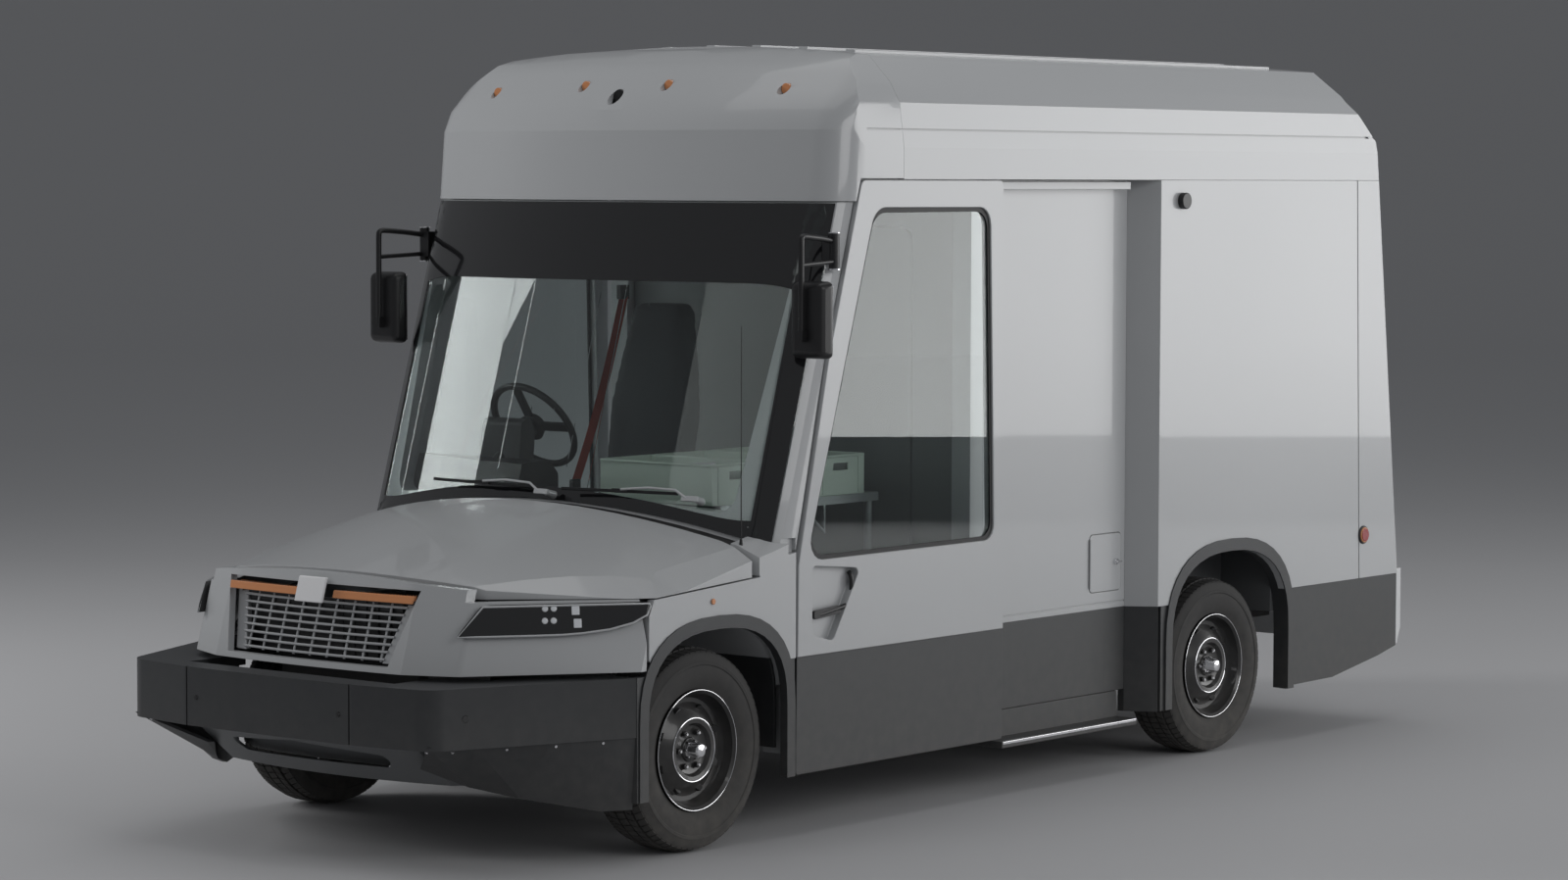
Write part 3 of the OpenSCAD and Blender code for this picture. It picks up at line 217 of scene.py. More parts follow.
# %% [markdown]
# A material is then short: object coordinates go into the group, and its colour, roughness and
# height come out into the one shader. Numbers that are the same all over, such as the clear coat,
# are set on the shader itself.

# %% Materials
by_slot = {}


def material(name, color, rough, metal=0.0, coat=0.0, grain=(400.0, 0.0), variation=0.06, dust=0.1,
             patch=1.5, dust_top=0.8, spread=0.08, **shader_values):
    mat = bpy.data.materials.new(name)
    mat.use_nodes = True
    tree = mat.node_tree
    shader = tree.nodes["Principled BSDF"]
    shader.inputs["Metallic"].default_value = metal
    shader.inputs["Coat Weight"].default_value = coat
    shader.inputs["Coat Roughness"].default_value = 0.03
    for key, value in shader_values.items():
        shader.inputs[key.replace("_", " ")].default_value = value
    film = tree.nodes.new("ShaderNodeGroup")
    film.node_tree = FILM
    place = tree.nodes.new("ShaderNodeTexCoord")
    tree.links.new(place.outputs["Object"], film.inputs["Place"])
    film.inputs["Base Color"].default_value = (*color, 1)
    for key, value in (("Variation", variation), ("Patch Scale", patch), ("Dust", dust),
                       ("Dust Top", dust_top), ("Roughness", rough), ("Roughness Spread", spread),
                       ("Grain Scale", grain[0])):
        film.inputs[key].default_value = value
    tree.links.new(film.outputs["Color"], shader.inputs["Base Color"])
    tree.links.new(film.outputs["Roughness"], shader.inputs["Roughness"])
    bump = tree.nodes.new("ShaderNodeBump")
    bump.inputs["Strength"].default_value = 0.4
    bump.inputs["Distance"].default_value = grain[1]
    tree.links.new(film.outputs["Height"], bump.inputs["Height"])
    tree.links.new(bump.outputs["Normal"], shader.inputs["Normal"])
    by_slot[name] = mat
    return mat


def clear_material(name, color, rough=0.0):
    mat = bpy.data.materials.new(name)
    mat.use_nodes = True
    shader = mat.node_tree.nodes["Principled BSDF"]
    shader.inputs["Base Color"].default_value = (*color, 1)
    shader.inputs["Roughness"].default_value = rough
    shader.inputs["Transmission Weight"].default_value = 1.0
    shader.inputs["IOR"].default_value = 1.45
    return mat


PAINT = material("body_paint", (0.44, 0.45, 0.46), 0.30, coat=0.5, grain=(900, 0.00004), variation=0.03, dust=0.35)
CLADDING = material("cladding", (0.030, 0.032, 0.035), 0.42, grain=(700, 0.0003), variation=0.2, dust=0.25)
STEEL = material("chassis_steel", (0.03, 0.03, 0.032), 0.5, grain=(200, 0.0004), dust=0.6)
TANK = material("tank_metal", (0.62, 0.63, 0.64), 0.3, metal=0.9, dust=0.5)
IRON = material("engine_metal", (0.16, 0.16, 0.165), 0.55, metal=0.6, grain=(150, 0.0006))
FLOOR_PLATE = material("floor_plate", (0.14, 0.145, 0.15), 0.5, metal=0.3)
TRIM = material("trim_black", (0.012, 0.012, 0.013), 0.38, grain=(800, 0.0001), variation=0.2)
GLOSS_BLACK = material("gloss_black", (0.006, 0.006, 0.007), 0.12, coat=1.0, variation=0.0, dust=0.0)
AMBER = material("lamp_amber", (0.62, 0.25, 0.10), 0.25, coat=0.8, variation=0.05)
RED = material("lamp_red", (0.30, 0.006, 0.010), 0.2, coat=0.9, variation=0.05)
VALANCE = material("valance_grey", (0.11, 0.115, 0.12), 0.35, grain=(600, 0.0002))
LIGHT_METAL = material("bumper_light", (0.62, 0.63, 0.64), 0.3, coat=0.5)
CAB_GREY = material("bulkhead_grey", (0.20, 0.21, 0.215), 0.5, grain=(300, 0.0002))
DASH = material("dash_plastic", (0.018, 0.019, 0.021), 0.55, grain=(500, 0.0005))
SEAT_FRAME = material("seat_metal", (0.02, 0.02, 0.02), 0.4)
CLOTH = material("seat_fabric", (0.05, 0.055, 0.06), 0.9, grain=(900, 0.0008))
BELT = material("belt_web", (0.40, 0.035, 0.015), 0.7, grain=(1200, 0.0005))
SHELF = material("shelf_metal", (0.33, 0.345, 0.35), 0.35, metal=0.4)
TRAY = material("tray_plastic", (0.62, 0.70, 0.62), 0.45)
MACHINED = material("hub_iron", (0.10, 0.095, 0.09), 0.4, metal=0.7, dust=0.5)
TYRE = material("tyre", (0.022, 0.022, 0.023), 0.75, grain=(350, 0.0004), variation=0.3, dust=0.35, dust_top=0.9)
RIM = material("rim_black", (0.012, 0.012, 0.013), 0.3, coat=0.3, dust=0.2)
CHROME = material("bright_metal", (0.80, 0.80, 0.82), 0.08, metal=1.0, variation=0.02, dust=0.1)
SILVER = material("silver_plastic", (0.50, 0.51, 0.52), 0.3, metal=0.3, dust=0.1)
WHITE = material("blank_plate", (0.78, 0.78, 0.79), 0.35, variation=0.02, dust=0.0)
LED = material("led_lens", (0.70, 0.72, 0.75), 0.08, coat=1.0, variation=0.0, dust=0.0)
SEAL = material("seal_rubber", (0.010, 0.010, 0.011), 0.55, grain=(900, 0.0001))
GLASS = clear_material("glass_clear", (0.80, 0.86, 0.85))
FLOOR_PALE = material("floor_pale", (0.50, 0.50, 0.51), 0.6, variation=0.02, dust=0.0, patch=0.4)
floor.data.materials.append(FLOOR_PALE)

# %% [markdown]
# CAD solids arrive as loose triangles with knife edges. A panel copy welds the triangles, joins the
# flat ones into whole faces and rounds every hard edge, so that it catches a line of light as
# pressed metal does.

# %% Panels from the CAD solids
by_slot.update(lamp_black=GLOSS_BLACK, glass_clear=GLASS)
slot_of_node = {s["node"]: s["material_slot"] for s in frame["record"]["subparts"]}


def dress(piece, mat, slot, body, *stands_for):
    """Gives a finished piece its material and its body, and hides the CAD nodes it stands for; the slot argument is
    not used.
    """
    piece.data.materials.clear()
    piece.data.materials.append(mat)
    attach(piece, body)
    if stands_for:
        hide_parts(*stands_for)
    return piece


def smooth_by_angle(mesh, angle=32):
    mesh.shade_smooth()
    mesh.set_sharp_from_angle(angle=radians(angle))


def finish_mesh(name, bm, mat, slot, body, *stands_for, round_edge=0.0, segments=2):
    """Turns a bmesh in metres into a finished piece, with its hard edges rounded if asked."""
    bmesh.ops.recalc_face_normals(bm, faces=bm.faces)
    mesh = bpy.data.meshes.new(name)
    bm.to_mesh(mesh)
    bm.free()
    smooth_by_angle(mesh)
    piece = new_object(name, mesh)
    if round_edge:
        edge = piece.modifiers.new("edge", "BEVEL")
        edge.width = round_edge
        edge.segments = segments
        edge.limit_method = "ANGLE"
        edge.angle_limit = radians(35)
        even = piece.modifiers.new("even", "WEIGHTED_NORMAL")
        even.keep_sharp = True
    return dress(piece, mat, slot, body, *stands_for)


def welded(node):
    """A CAD node's solid with its triangles joined into whole faces."""
    bm = bmesh.new()
    bm.from_mesh(nodes[node].data)
    bmesh.ops.remove_doubles(bm, verts=bm.verts, dist=0.00002)
    bmesh.ops.dissolve_limit(bm, angle_limit=radians(0.05), verts=bm.verts, edges=bm.edges)
    return bm


def panel(node, mat=None, round_edge=0.003, segments=2):
    """A copy of a CAD node with welded faces and rounded edges."""
    slot = slot_of_node[node]
    return finish_mesh(node + "_panel", welded(node), mat or by_slot[slot], slot, body_of_node[node], node,
                       round_edge=round_edge, segments=segments)


def two_tone(node, height, round_edge=0.003):
    """A copy of a CAD node in two pieces: cladding below a height and paint above it."""
    for name, mat, slot, side in (("lower", CLADDING, "cladding", 1), ("upper", PAINT, "body_paint", -1)):
        bm = welded(node)
        cut = bmesh.ops.bisect_plane(bm, geom=bm.verts[:] + bm.edges[:] + bm.faces[:], dist=0.00001,
                                     plane_co=(0, 0, height), plane_no=(0, 0, side), clear_outer=True)
        edges = [g for g in cut["geom_cut"] if isinstance(g, bmesh.types.BMEdge)]
        bmesh.ops.holes_fill(bm, edges=edges, sides=0)
        finish_mesh(f"{node}_{name}", bm, mat, slot, body_of_node[node], node, round_edge=round_edge)


GLASS_NODES = ("windscreen", "door_glass_left", "door_glass_right")
for name in GLASS_NODES:
    nodes[name].data.materials.clear()
    nodes[name].data.materials.append(GLASS)

BELT_Z = 0.668
TWO_TONE = ("door_left", "door_right", "mid_panels", "fenders", "side_left", "side_right")
for name in TWO_TONE:
    two_tone(name, BELT_Z)

REBUILT = [n for n in nodes if n.startswith(("tyre_", "rim_", "mirror_", "wiper_"))]
REBUILT += ["steering_wheel", "seat_cushion", "seat_back", "seat_belt", "grille"]
for name in nodes:
    if name not in REBUILT and name not in GLASS_NODES and name not in TWO_TONE:
        panel(name)

# %% [markdown]
# The finer pieces are drawn in millimetres, which suits their sizes, and are scaled once at the end.
# A few small builders cover most of them: a block, a rod, a bent tube, a flat slab, and a ring
# between two outlines.

# %% Small builders
def made(name, bm, mat, slot, body, *stands_for, round_edge=0.0, segments=2):
    """Finishes a piece that was drawn in millimetres."""
    bmesh.ops.scale(bm, vec=(0.001, 0.001, 0.001), verts=bm.verts)
    return finish_mesh(name, bm, mat, slot, body, *stands_for, round_edge=round_edge, segments=segments)


def block(bm, low, high):
    verts = bmesh.ops.create_cube(bm, size=1)["verts"]
    low, high = Vector(low), Vector(high)
    bmesh.ops.scale(bm, vec=high - low, verts=verts)
    bmesh.ops.translate(bm, vec=(low + high) / 2, verts=verts)
    return verts


def rod(bm, start, end, radius, end_radius=None, segments=24):
    start, end = Vector(start), Vector(end)
    turn = (end - start).to_track_quat("Z", "Y").to_matrix().to_4x4()
    return bmesh.ops.create_cone(bm, cap_ends=True, segments=segments, radius1=radius,
                                 radius2=radius if end_radius is None else end_radius, depth=(end - start).length,
                                 matrix=Matrix.Translation((start + end) / 2) @ turn)["verts"]


def tube(bm, points, radius, closed=False, smooth=True):
    """A round tube along points, bending smoothly near them."""
    curve = bpy.data.curves.new("path", "CURVE")
    curve.dimensions = "3D"
    curve.bevel_depth = radius
    curve.bevel_resolution = 4
    curve.resolution_u = 8
    curve.use_fill_caps = True
    line = curve.splines.new("NURBS" if smooth else "POLY")
    line.points.add(len(points) - 1)
    for p, q in zip(line.points, points):
        p.co = (*q, 1)
    line.use_cyclic_u = closed
    line.use_endpoint_u = True
    line.order_u = 3
    obj = bpy.data.objects.new("path", curve)
    mesh = bpy.data.meshes.new_from_object(obj)
    bm.from_mesh(mesh)
    bpy.data.meshes.remove(mesh)
    bpy.data.objects.remove(obj)
    bpy.data.curves.remove(curve)


def rounded(points, radii, steps=6):
    """An outline with each corner turned into an arc of its radius."""
    out = []
    for i, (point, r) in enumerate(zip(points, radii)):
        corner = Vector(point)
        back = (Vector(points[i - 1]) - corner).normalized()
        on = (Vector(points[(i + 1) % len(points)]) - corner).normalized()
        if not r:
            out.append(tuple(corner))
            continue
        half = back.angle(on) / 2
        middle = corner + (back + on).normalized() * (r / sin(half))
        a = corner + back * (r / math_tan(half)) - middle
        b = corner + on * (r / math_tan(half)) - middle
        out += [tuple(middle + a.lerp(b, k / steps).normalized() * r) for k in range(steps + 1)]
    return out


def side_place(x):
    """Outline points given as (y, z) on a plane of constant x."""
    return lambda y, z: (x, y, z)


def loop(bm, points):
    verts = [bm.verts.new(p) for p in points]
    return [bm.edges.new((verts[i - 1], v)) for i, v in enumerate(verts)]


def slab(bm, outline, place, push):
    """An outline filled as a face and pushed out to a solid."""
    face = bm.faces.new([bm.verts.new(place(*p)) for p in outline])
    out = bmesh.ops.extrude_face_region(bm, geom=[face])["geom"]
    bmesh.ops.translate(bm, vec=push, verts=[g for g in out if isinstance(g, bmesh.types.BMVert)])


def frame_ring(bm, outer, inner, place, push):
    """A flat ring between two outlines, pushed out to a solid."""
    rings = loop(bm, [place(*p) for p in outer]) + loop(bm, [place(*p) for p in inner])
    faces = bmesh.ops.bridge_loops(bm, edges=rings)["faces"]
    out = bmesh.ops.extrude_face_region(bm, geom=faces)["geom"]
    bmesh.ops.translate(bm, vec=push, verts=[g for g in out if isinstance(g, bmesh.types.BMVert)])


def mirrored(bm):
    """Adds the same shapes on the truck's other side."""
    copy = bmesh.ops.duplicate(bm, geom=bm.verts[:] + bm.edges[:] + bm.faces[:])["geom"]
    verts = [g for g in copy if isinstance(g, bmesh.types.BMVert)]
    bmesh.ops.scale(bm, vec=(-1, 1, 1), verts=verts)


# %% [markdown]
# A tyre is a spun profile, so its side wall has a raised rib and a soft shoulder. Its tread blocks
# are drawn once, for one short step of the tread, and that step is repeated round the wheel.

# %% Tyres
TYRE_R = 372
AXLE_F, AXLE_R, WHEEL_X = -1840, 1560, 902.5
WHEELS = {"front_left": (1, AXLE_F), "front_right": (-1, AXLE_F), "rear_left": (1, AXLE_R), "rear_right": (-1, AXLE_R)}


def spun(bm, profile, steps=96):
    """Spins (distance along X, radius) points a full turn about X."""
    verts = [bm.verts.new((x, 0, r)) for x, r in profile]
    edges = [bm.edges.new(pair) for pair in zip(verts, verts[1:])]
    bmesh.ops.spin(bm, geom=verts + edges, cent=(0, 0, 0), axis=(1, 0, 0), angle=2 * pi, steps=steps, use_merge=True)


def tyre_mesh(bm):
    half = [(0, 361), (84, 360), (97, 355), (106, 340), (109, 326), (112, 322), (112, 312), (109, 308), (111, 285),
            (104, 250), (94, 232), (92, 224), (70, 223)]
    spun(bm, [(-x, r) for x, r in reversed(half[1:])] + half)
    # one step of the tread: five ribs, cut by slanted sipes
    tread = bmesh.new()
    for x0, x1, slant in ((-96, -62, 5), (-54, -26, -4), (-19, 19, 3), (26, 54, -4), (62, 96, 5)):
        verts = block(tread, (x0, -13.5 if abs(x0) < 60 else -12, 356), (x1, 14, TYRE_R - (5 if abs(x0 + x1) > 120 else 0.5)))
        for v in verts:
            v.co.y += slant * (1 if v.co.x > (x0 + x1) / 2 else -1)
            v.co.z -= 8 if abs(v.co.x) > 90 and v.co.z > 360 else 0
    bmesh.ops.spin(tread, geom=tread.verts[:] + tread.edges[:] + tread.faces[:], cent=(0, 0, 0), axis=(1, 0, 0),
                   angle=2 * pi * 71 / 72, steps=71, use_duplicate=True)
    mesh = bpy.data.meshes.new("tread")
    tread.to_mesh(mesh)
    tread.free()
    bm.from_mesh(mesh)
    bpy.data.meshes.remove(mesh)


def at_wheel(bm, side, y):
    """Moves a wheel part, drawn about the origin with its outside at +X, to its axle."""
    if side < 0:
        bmesh.ops.rotate(bm, cent=(0, 0, 0), matrix=Matrix.Rotation(pi, 3, "Z"), verts=bm.verts)
    bmesh.ops.translate(bm, vec=(side * WHEEL_X, y, TYRE_R), verts=bm.verts)


for corner, (side, y) in WHEELS.items():
    bm = bmesh.new()
    tyre_mesh(bm)
    at_wheel(bm, side, y)
    made(f"tyre_{corner}_tread", bm, TYRE, "tyre", body_of_node[f"tyre_{corner}"], f"tyre_{corner}")

# %% [markdown]
# The rim is a pressed dish with a deep well, eight hand holes and six nuts round a bright hub. The
# holes are dark pockets set into the dish.

# %% Rims
def rim_mesh(bm):
    spun(bm, [(-96, 208), (-96, 221), (-88, 214), (-60, 206), (10, 200), (60, 204), (88, 210), (96, 221), (101, 222),
              (101, 217), (92, 207), (60, 199), (46, 188), (44, 172), (58, 150), (76, 128), (84, 112), (82, 98),
              (66, 88), (60, 70), (60, 46), (66, 42), (66, 0.5)])


def ring(bm, x, radius, thick):
    """A round ring about the axle."""
    spun(bm, [(x + thick * cos(a), radius + thick * sin(a)) for a in [k * pi / 5 for k in range(11)]], 72)


for corner, (side, y) in WHEELS.items():
    body = body_of_node[f"rim_{corner}"]
    node = f"rim_{corner}"
    bm = bmesh.new()
    rim_mesh(bm)
    for k in range(6):
        a = k * pi / 3
        rod(bm, (56, 68 * cos(a), 68 * sin(a)), (76, 68 * cos(a), 68 * sin(a)), 11, segments=6)
    at_wheel(bm, side, y)
    made(f"{node}_dish", bm, RIM, "rim_black", body, node)
    bm = bmesh.new()
    for k in range(8):
        a = (k + 0.5) * pi / 4
        rod(bm, (48, 160 * cos(a), 160 * sin(a)), (57, 153 * cos(a), 153 * sin(a)), 15)
    at_wheel(bm, side, y)
    made(f"{node}_holes", bm, TRIM, "trim_black", body, node)
    bm = bmesh.new()
    # The two thin bright rings, on the dish's step and along the rim's lip, are painted highlights on those black
    # edges; the nut caps and hub cap are bright metal.
    ring(bm, 83, 116, 3)
    ring(bm, 101, 219, 1.6)
    for k in range(6):
        a = k * pi / 3
        rod(bm, (76, 68 * cos(a), 68 * sin(a)), (82, 68 * cos(a), 68 * sin(a)), 7, 5)
    spun(bm, [(62, 40), (84, 36), (92, 30), (112, 27), (119, 22), (122, 10), (123, 0.5)], 48)
    at_wheel(bm, side, y)
    made(f"{node}_bright", bm, CHROME, "tank_metal", body, node)

# %% [markdown]
# The windscreen has a printed black band: deep along the top, narrow down the sides and along the
# foot. It is a ring drawn flat, by distance along the glass and by height, and then bent onto the
# screen's outer face.

# %% Windscreen band
SCREEN_Y, HALF_W, RAKE, COWL_Z = -1655, 1059, 0.3, 1075


def on_screen(along, height, out=0.8):
    """A point of the windscreen's outer face, at a distance along its plan from the middle."""
    inset = 4 - out
    big, small, wide = 3000 - inset, 180 - inset, HALF_W - inset
    corner_x = wide - small
    corner_y = SCREEN_Y + inset + big - ((big - small) ** 2 - corner_x ** 2) ** 0.5
    turn = asin(corner_x / (big - small))
    distance = abs(along)
    if distance < big * turn:
        x, y = big * sin(distance / big), SCREEN_Y + inset + big * (1 - cos(distance / big))
    else:
        a = turn + (distance - big * turn) / small
        x, y = corner_x + small * sin(a), corner_y - small * cos(a)
    return Vector((x if along > 0 else -x, y + RAKE * (height - COWL_Z), height))


def foot_height(along):
    return 1222 - 140 * (min(abs(along), 1000) / HALF_W) ** 2 + 1


def band():
    bm = bmesh.new()
    half = 1052
    run = [half * (k / 20 - 1) for k in range(41)]
    inner = half - 92
    inner_run = [inner * (k / 20 - 1) for k in range(41)]
    outer = loop(bm, [(x, foot_height(x), 0) for x in run] + [(x, 2345, 0) for x in reversed(run)])
    hole = loop(bm, [(x, foot_height(x) + 45 + 25 * (abs(x) / inner) ** 12, 0) for x in inner_run]
                + [(x, 2048 - 25 * (abs(x) / inner) ** 12, 0) for x in reversed(inner_run)])
    bmesh.ops.bridge_loops(bm, edges=outer + hole)
    across = [e for e in bm.edges if e not in set(outer + hole)]
    bmesh.ops.subdivide_edges(bm, edges=across, cuts=6, use_grid_fill=True)
    for v in bm.verts:
        v.co = on_screen(v.co.x, v.co.y)
    made("windscreen_band", bm, GLOSS_BLACK, "lamp_black", "chassis")


band()

# %% [markdown]
# The grille is a set of thin slats crossed by upright bars, between two slanted cheeks. Slats and
# bars follow the bow of the nose, so both are bent by the same small formula.

# %% Grille
NOSE_Y = -2850


def grille_y(x, z):
    """The grille's face: bowed in plan and leaning back with height."""
    return NOSE_Y + 34 + 34 * (x / 430) ** 2 + RAKE * (z - 719)


def grille_line(bm, ends, radius, steps=12):
    (x0, z0), (x1, z1) = ends
    tube(bm, [(x0 + (x1 - x0) * k / steps, grille_y(x0 + (x1 - x0) * k / steps, z0), z0 + (z1 - z0) * k / steps)
              for k in range(steps + 1)], radius)


def grille_edge(z):
    """Half width of the grille's opening at a height."""
    return 402 + 77 * (z - 719) / 263


slats = bmesh.new()
for k in range(8):
    z = 737 + 26 * k
    grille_line(slats, ((-grille_edge(z) + 50, z), (grille_edge(z) - 50, z)), 5)
for k in range(-4, 5):
    tube(slats, [(84 * k, grille_y(84 * k, z) + 7, z) for z in (727, 830, 930)], 5)
made("grille_slats", slats, SILVER, "trim_black", "chassis", "grille")
back = bmesh.new()
for k in range(16):
    x0, x1 = -440 + 55 * k, -440 + 55 * (k + 1)
    block(back, (x0, grille_y((x0 + x1) / 2, 840) + 32, 721), (x1, grille_y((x0 + x1) / 2, 840) + 45, 935))
made("grille_back", back, TRIM, "trim_black", "chassis", "grille")
cheeks = bmesh.new()
slab(cheeks, [(grille_edge(722) - 58, 722), (grille_edge(722) + 2, 722), (grille_edge(930) + 2, 930),
              (grille_edge(930) - 58, 930)], lambda x, z: (x, grille_y(x, z) + 2, z), (0, 26, 0))
mirrored(cheeks)
made("grille_cheeks", cheeks, SILVER, "trim_black", "chassis", "grille", round_edge=0.004)
strips = bmesh.new()
for x in (150, 235, 320, 395):
    block(strips, (x - 34, grille_y(x, 944) + 4, 931), (x + 34, grille_y(x, 944) + 14, 944))
mirrored(strips)
made("grille_strips", strips, CHROME, "tank_metal", "chassis", "grille", round_edge=0.002)
plate = bmesh.new()
block(plate, (-70, -2803, 920), (70, -2793, 1010))
for v in plate.verts:
    v.co.y += 0.3 * (v.co.z - 965)
made("blank_plate", plate, WHITE, "bumper_light", "chassis", "grille", round_edge=0.004)
lens_ribs = bmesh.new()
for k in range(30):
    x = 98 + 13 * k
    tube(lens_ribs, [(x, -2832 + 34 * (x / 430) ** 2 + RAKE * (z - 719) + 32, z) for z in (942, 962)], 2.2, smooth=False)
mirrored(lens_ribs)
made("lens_ribs", lens_ribs, AMBER, "lamp_amber", "chassis")

# %% [markdown]
# Lamps sit on curved corners, so a ray cast onto the CAD surface finds the place of each small part,
# and the face's normal gives the way it points.

# %% Headlamp details
face_trees = {}


def on_face(node, start, way):
    """Place and normal, in millimetres, where a line first meets a CAD node."""
    if node not in face_trees:
        face_trees[node] = BVHTree.FromBMesh(welded(node))
    place, normal = face_trees[node].ray_cast(Vector(start) / 1000, Vector(way).normalized())[:2]
    return place * 1000, normal


def dome(bm, place, normal, radius, rise, sink=3):
    """A low round lens or rivet head that stands out of a face."""
    rod(bm, place - normal * sink, place + normal * rise, radius, radius * 0.7, segments=24)


lenses = bmesh.new()
bezels = bmesh.new()
for y, z, radius in ((-2476, 926, 15), (-2451, 926, 15), (-2482, 884, 15), (-2457, 884, 15)):
    place, normal = on_face("headlamps", (1300, y, z), (-1, 0, 0))
    dome(lenses, place, normal, radius - 3, 2)
    dome(bezels, place, normal, radius, 0.8)
for z in (918, 873):
    place, normal = on_face("headlamps", (1300, -2390, z), (-1, 0, 0))
    verts = block(lenses, (-14, -16, -4), (14, 16, 2))
    turn = normal.to_track_quat("Z", "Y").to_matrix().to_4x4()
    bmesh.ops.transform(lenses, matrix=Matrix.Translation(place) @ turn, verts=verts)
mirrored(lenses)
mirrored(bezels)
made("headlamp_leds", lenses, LED, "lamp_black", "chassis", round_edge=0.0015)
made("headlamp_bezels", bezels, SILVER, "lamp_black", "chassis")


def lamp_edge():
    """Places round the lamp's outline, found on its own face."""
    foot = [on_face("headlamps", (x, -3200, 833), (0, 1, 0))[0] for x in (660, 700, 740)]
    foot += [on_face("headlamps", (1300, y, z), (-1, 0, 0))[0]
             for y, z in ((-2600, 833), (-2520, 833), (-2440, 834), (-2380, 838), (-2300, 849), (-2230, 870))]
    top = [on_face("headlamps", (1300, y, z), (-1, 0, 0))[0]
           for y, z in ((-2185, 896), (-2166, 925), (-2172, 935), (-2240, 936), (-2340, 936), (-2440, 936), (-2530, 936))]
    top += [on_face("headlamps", (x, -3200, 936), (0, 1, 0))[0] for x in (745, 704)]
    return foot + top


rim = bmesh.new()
tube(rim, [tuple(p) for p in lamp_edge()], 4, closed=True, smooth=False)
mirrored(rim)
made("headlamp_rims", rim, SILVER, "lamp_black", "chassis")

# %% [markdown]
# The bumper carries two bolts, a round sensor near each corner and a row of bright rivets that hold
# its lower skirt. The aerial stands on the corner of the cowl.

# %% Bumper and body details
bolts = bmesh.new()
for x in (361, -361):
    dome(bolts, *on_face("front_bumper", (x, -3300, 567), (0, 1, 0)), 11, 4)
made("bumper_bolts", bolts, TRIM, "trim_black", "chassis")
sensors = bmesh.new()
rivets = bmesh.new()
place, normal = on_face("front_bumper", (805, -3300, 570), (0, 1, 0))
dome(sensors, place, normal, 17, 2)
for x, y in ((700, -3300), (760, -3300), (850, -3300), (930, -3300), (1000, -3300)):
    place, normal = on_face("front_bumper", (x, y, 452), (0, 1, 0))
    dome(rivets, place, normal, 7, 3)
mirrored(sensors)
mirrored(rivets)
made("bumper_sensors", sensors, GLOSS_BLACK, "trim_black", "chassis")
made("skirt_rivets", rivets, CHROME, "tank_metal", "chassis")
aerial = bmesh.new()
rod(aerial, (975, -1562, 1085), (975, -1562, 1118), 9, 5)
rod(aerial, (975, -1562, 1110), (975, -1562, 1900), 2.4, 1.4, segments=12)
made("aerial", aerial, TRIM, "trim_black", "chassis")
rail = bmesh.new()
block(rail, (1036, -24, 202), (1050, 912, 216))
mirrored(rail)
made("door_rails", rail, CHROME, "tank_metal", "chassis", round_edge=0.003)
side_lens = bmesh.new()
side_bezel = bmesh.new()
rod(side_lens, (1060, 2680, 860), (1074, 2680, 860), 33, 28)
rod(side_bezel, (1059, 2680, 860), (1066, 2680, 860), 42, 39)
mirrored(side_lens)
mirrored(side_bezel)
made("side_lenses", side_lens, RED, "lamp_red", "chassis", round_edge=0.002)
made("side_bezels", side_bezel, TRIM, "trim_black", "chassis", round_edge=0.002)
lock = bmesh.new()
rod(lock, (940, 906, 860), (951, 906, 860), 15, 13)
block(lock, (950, 898, 857), (957, 936, 863))
made("flap_lock", lock, CHROME, "tank_metal", body_of_node["fuel_flap"], round_edge=0.001)

# %% [markdown]
# Each mirror hangs on a bent tube with a second, shorter stay. The head is a rounded shell with the
# glass let into its rear face.

# %% Mirrors
def mirror(side, node):
    body = body_of_node[node]
    arm = bmesh.new()
    tube(arm, [(1050, -1119, 2205), (1060, -1180, 2214), (1072, -1300, 2224), (1084, -1350, 2226), (1085, -1352, 2200),
               (1085, -1352, 2150), (1085, -1352, 1990), (1085, -1352, 1850)], 11)
    tube(arm, [(1085, -1350, 2120), (1078, -1300, 2122), (1056, -1119, 2130)], 9)
    rod(arm, (1055, -1119, 2100), (1055, -1119, 2236), 20)
    block(arm, (1014, -1140, 2120), (1050, -1098, 2220))
    block(arm, (1072, -1362, 1838), (1098, -1330, 1880))
    head = bmesh.new()
    verts = block(head, (1002, -1334, 1770), (1176, -1262, 2064))
    for v in verts:
        if v.co.y < -1300:
            v.co.x += 14 if v.co.x < 1050 else -14
            v.co.z += 12 if v.co.z < 1900 else -12
    glass = bmesh.new()
    block(glass, (1016, -1266, 1785), (1162, -1257, 2049))
    cap = bmesh.new()
    rod(cap, (1055, -1119, 2098), (1055, -1119, 2104), 23)
    rod(cap, (1055, -1119, 2234), (1055, -1119, 2239), 23)
    for part, bm, mat, edge in (("arm", arm, TRIM, 0), ("head", head, TRIM, 0.024), ("glass", glass, CHROME, 0.006),
                                ("cap", cap, CHROME, 0.001)):
        if side < 0:
            bmesh.ops.scale(bm, vec=(-1, 1, 1), verts=bm.verts)
        made(f"{node}_{part}", bm, mat, "trim_black", body, node, round_edge=edge, segments=4)


mirror(1, "mirror_left")
mirror(-1, "mirror_right")

# %% [markdown]
# A wiper lies across the foot of the screen. Its arm rises from the spindle, turns at an elbow and
# presses on the middle of the blade.

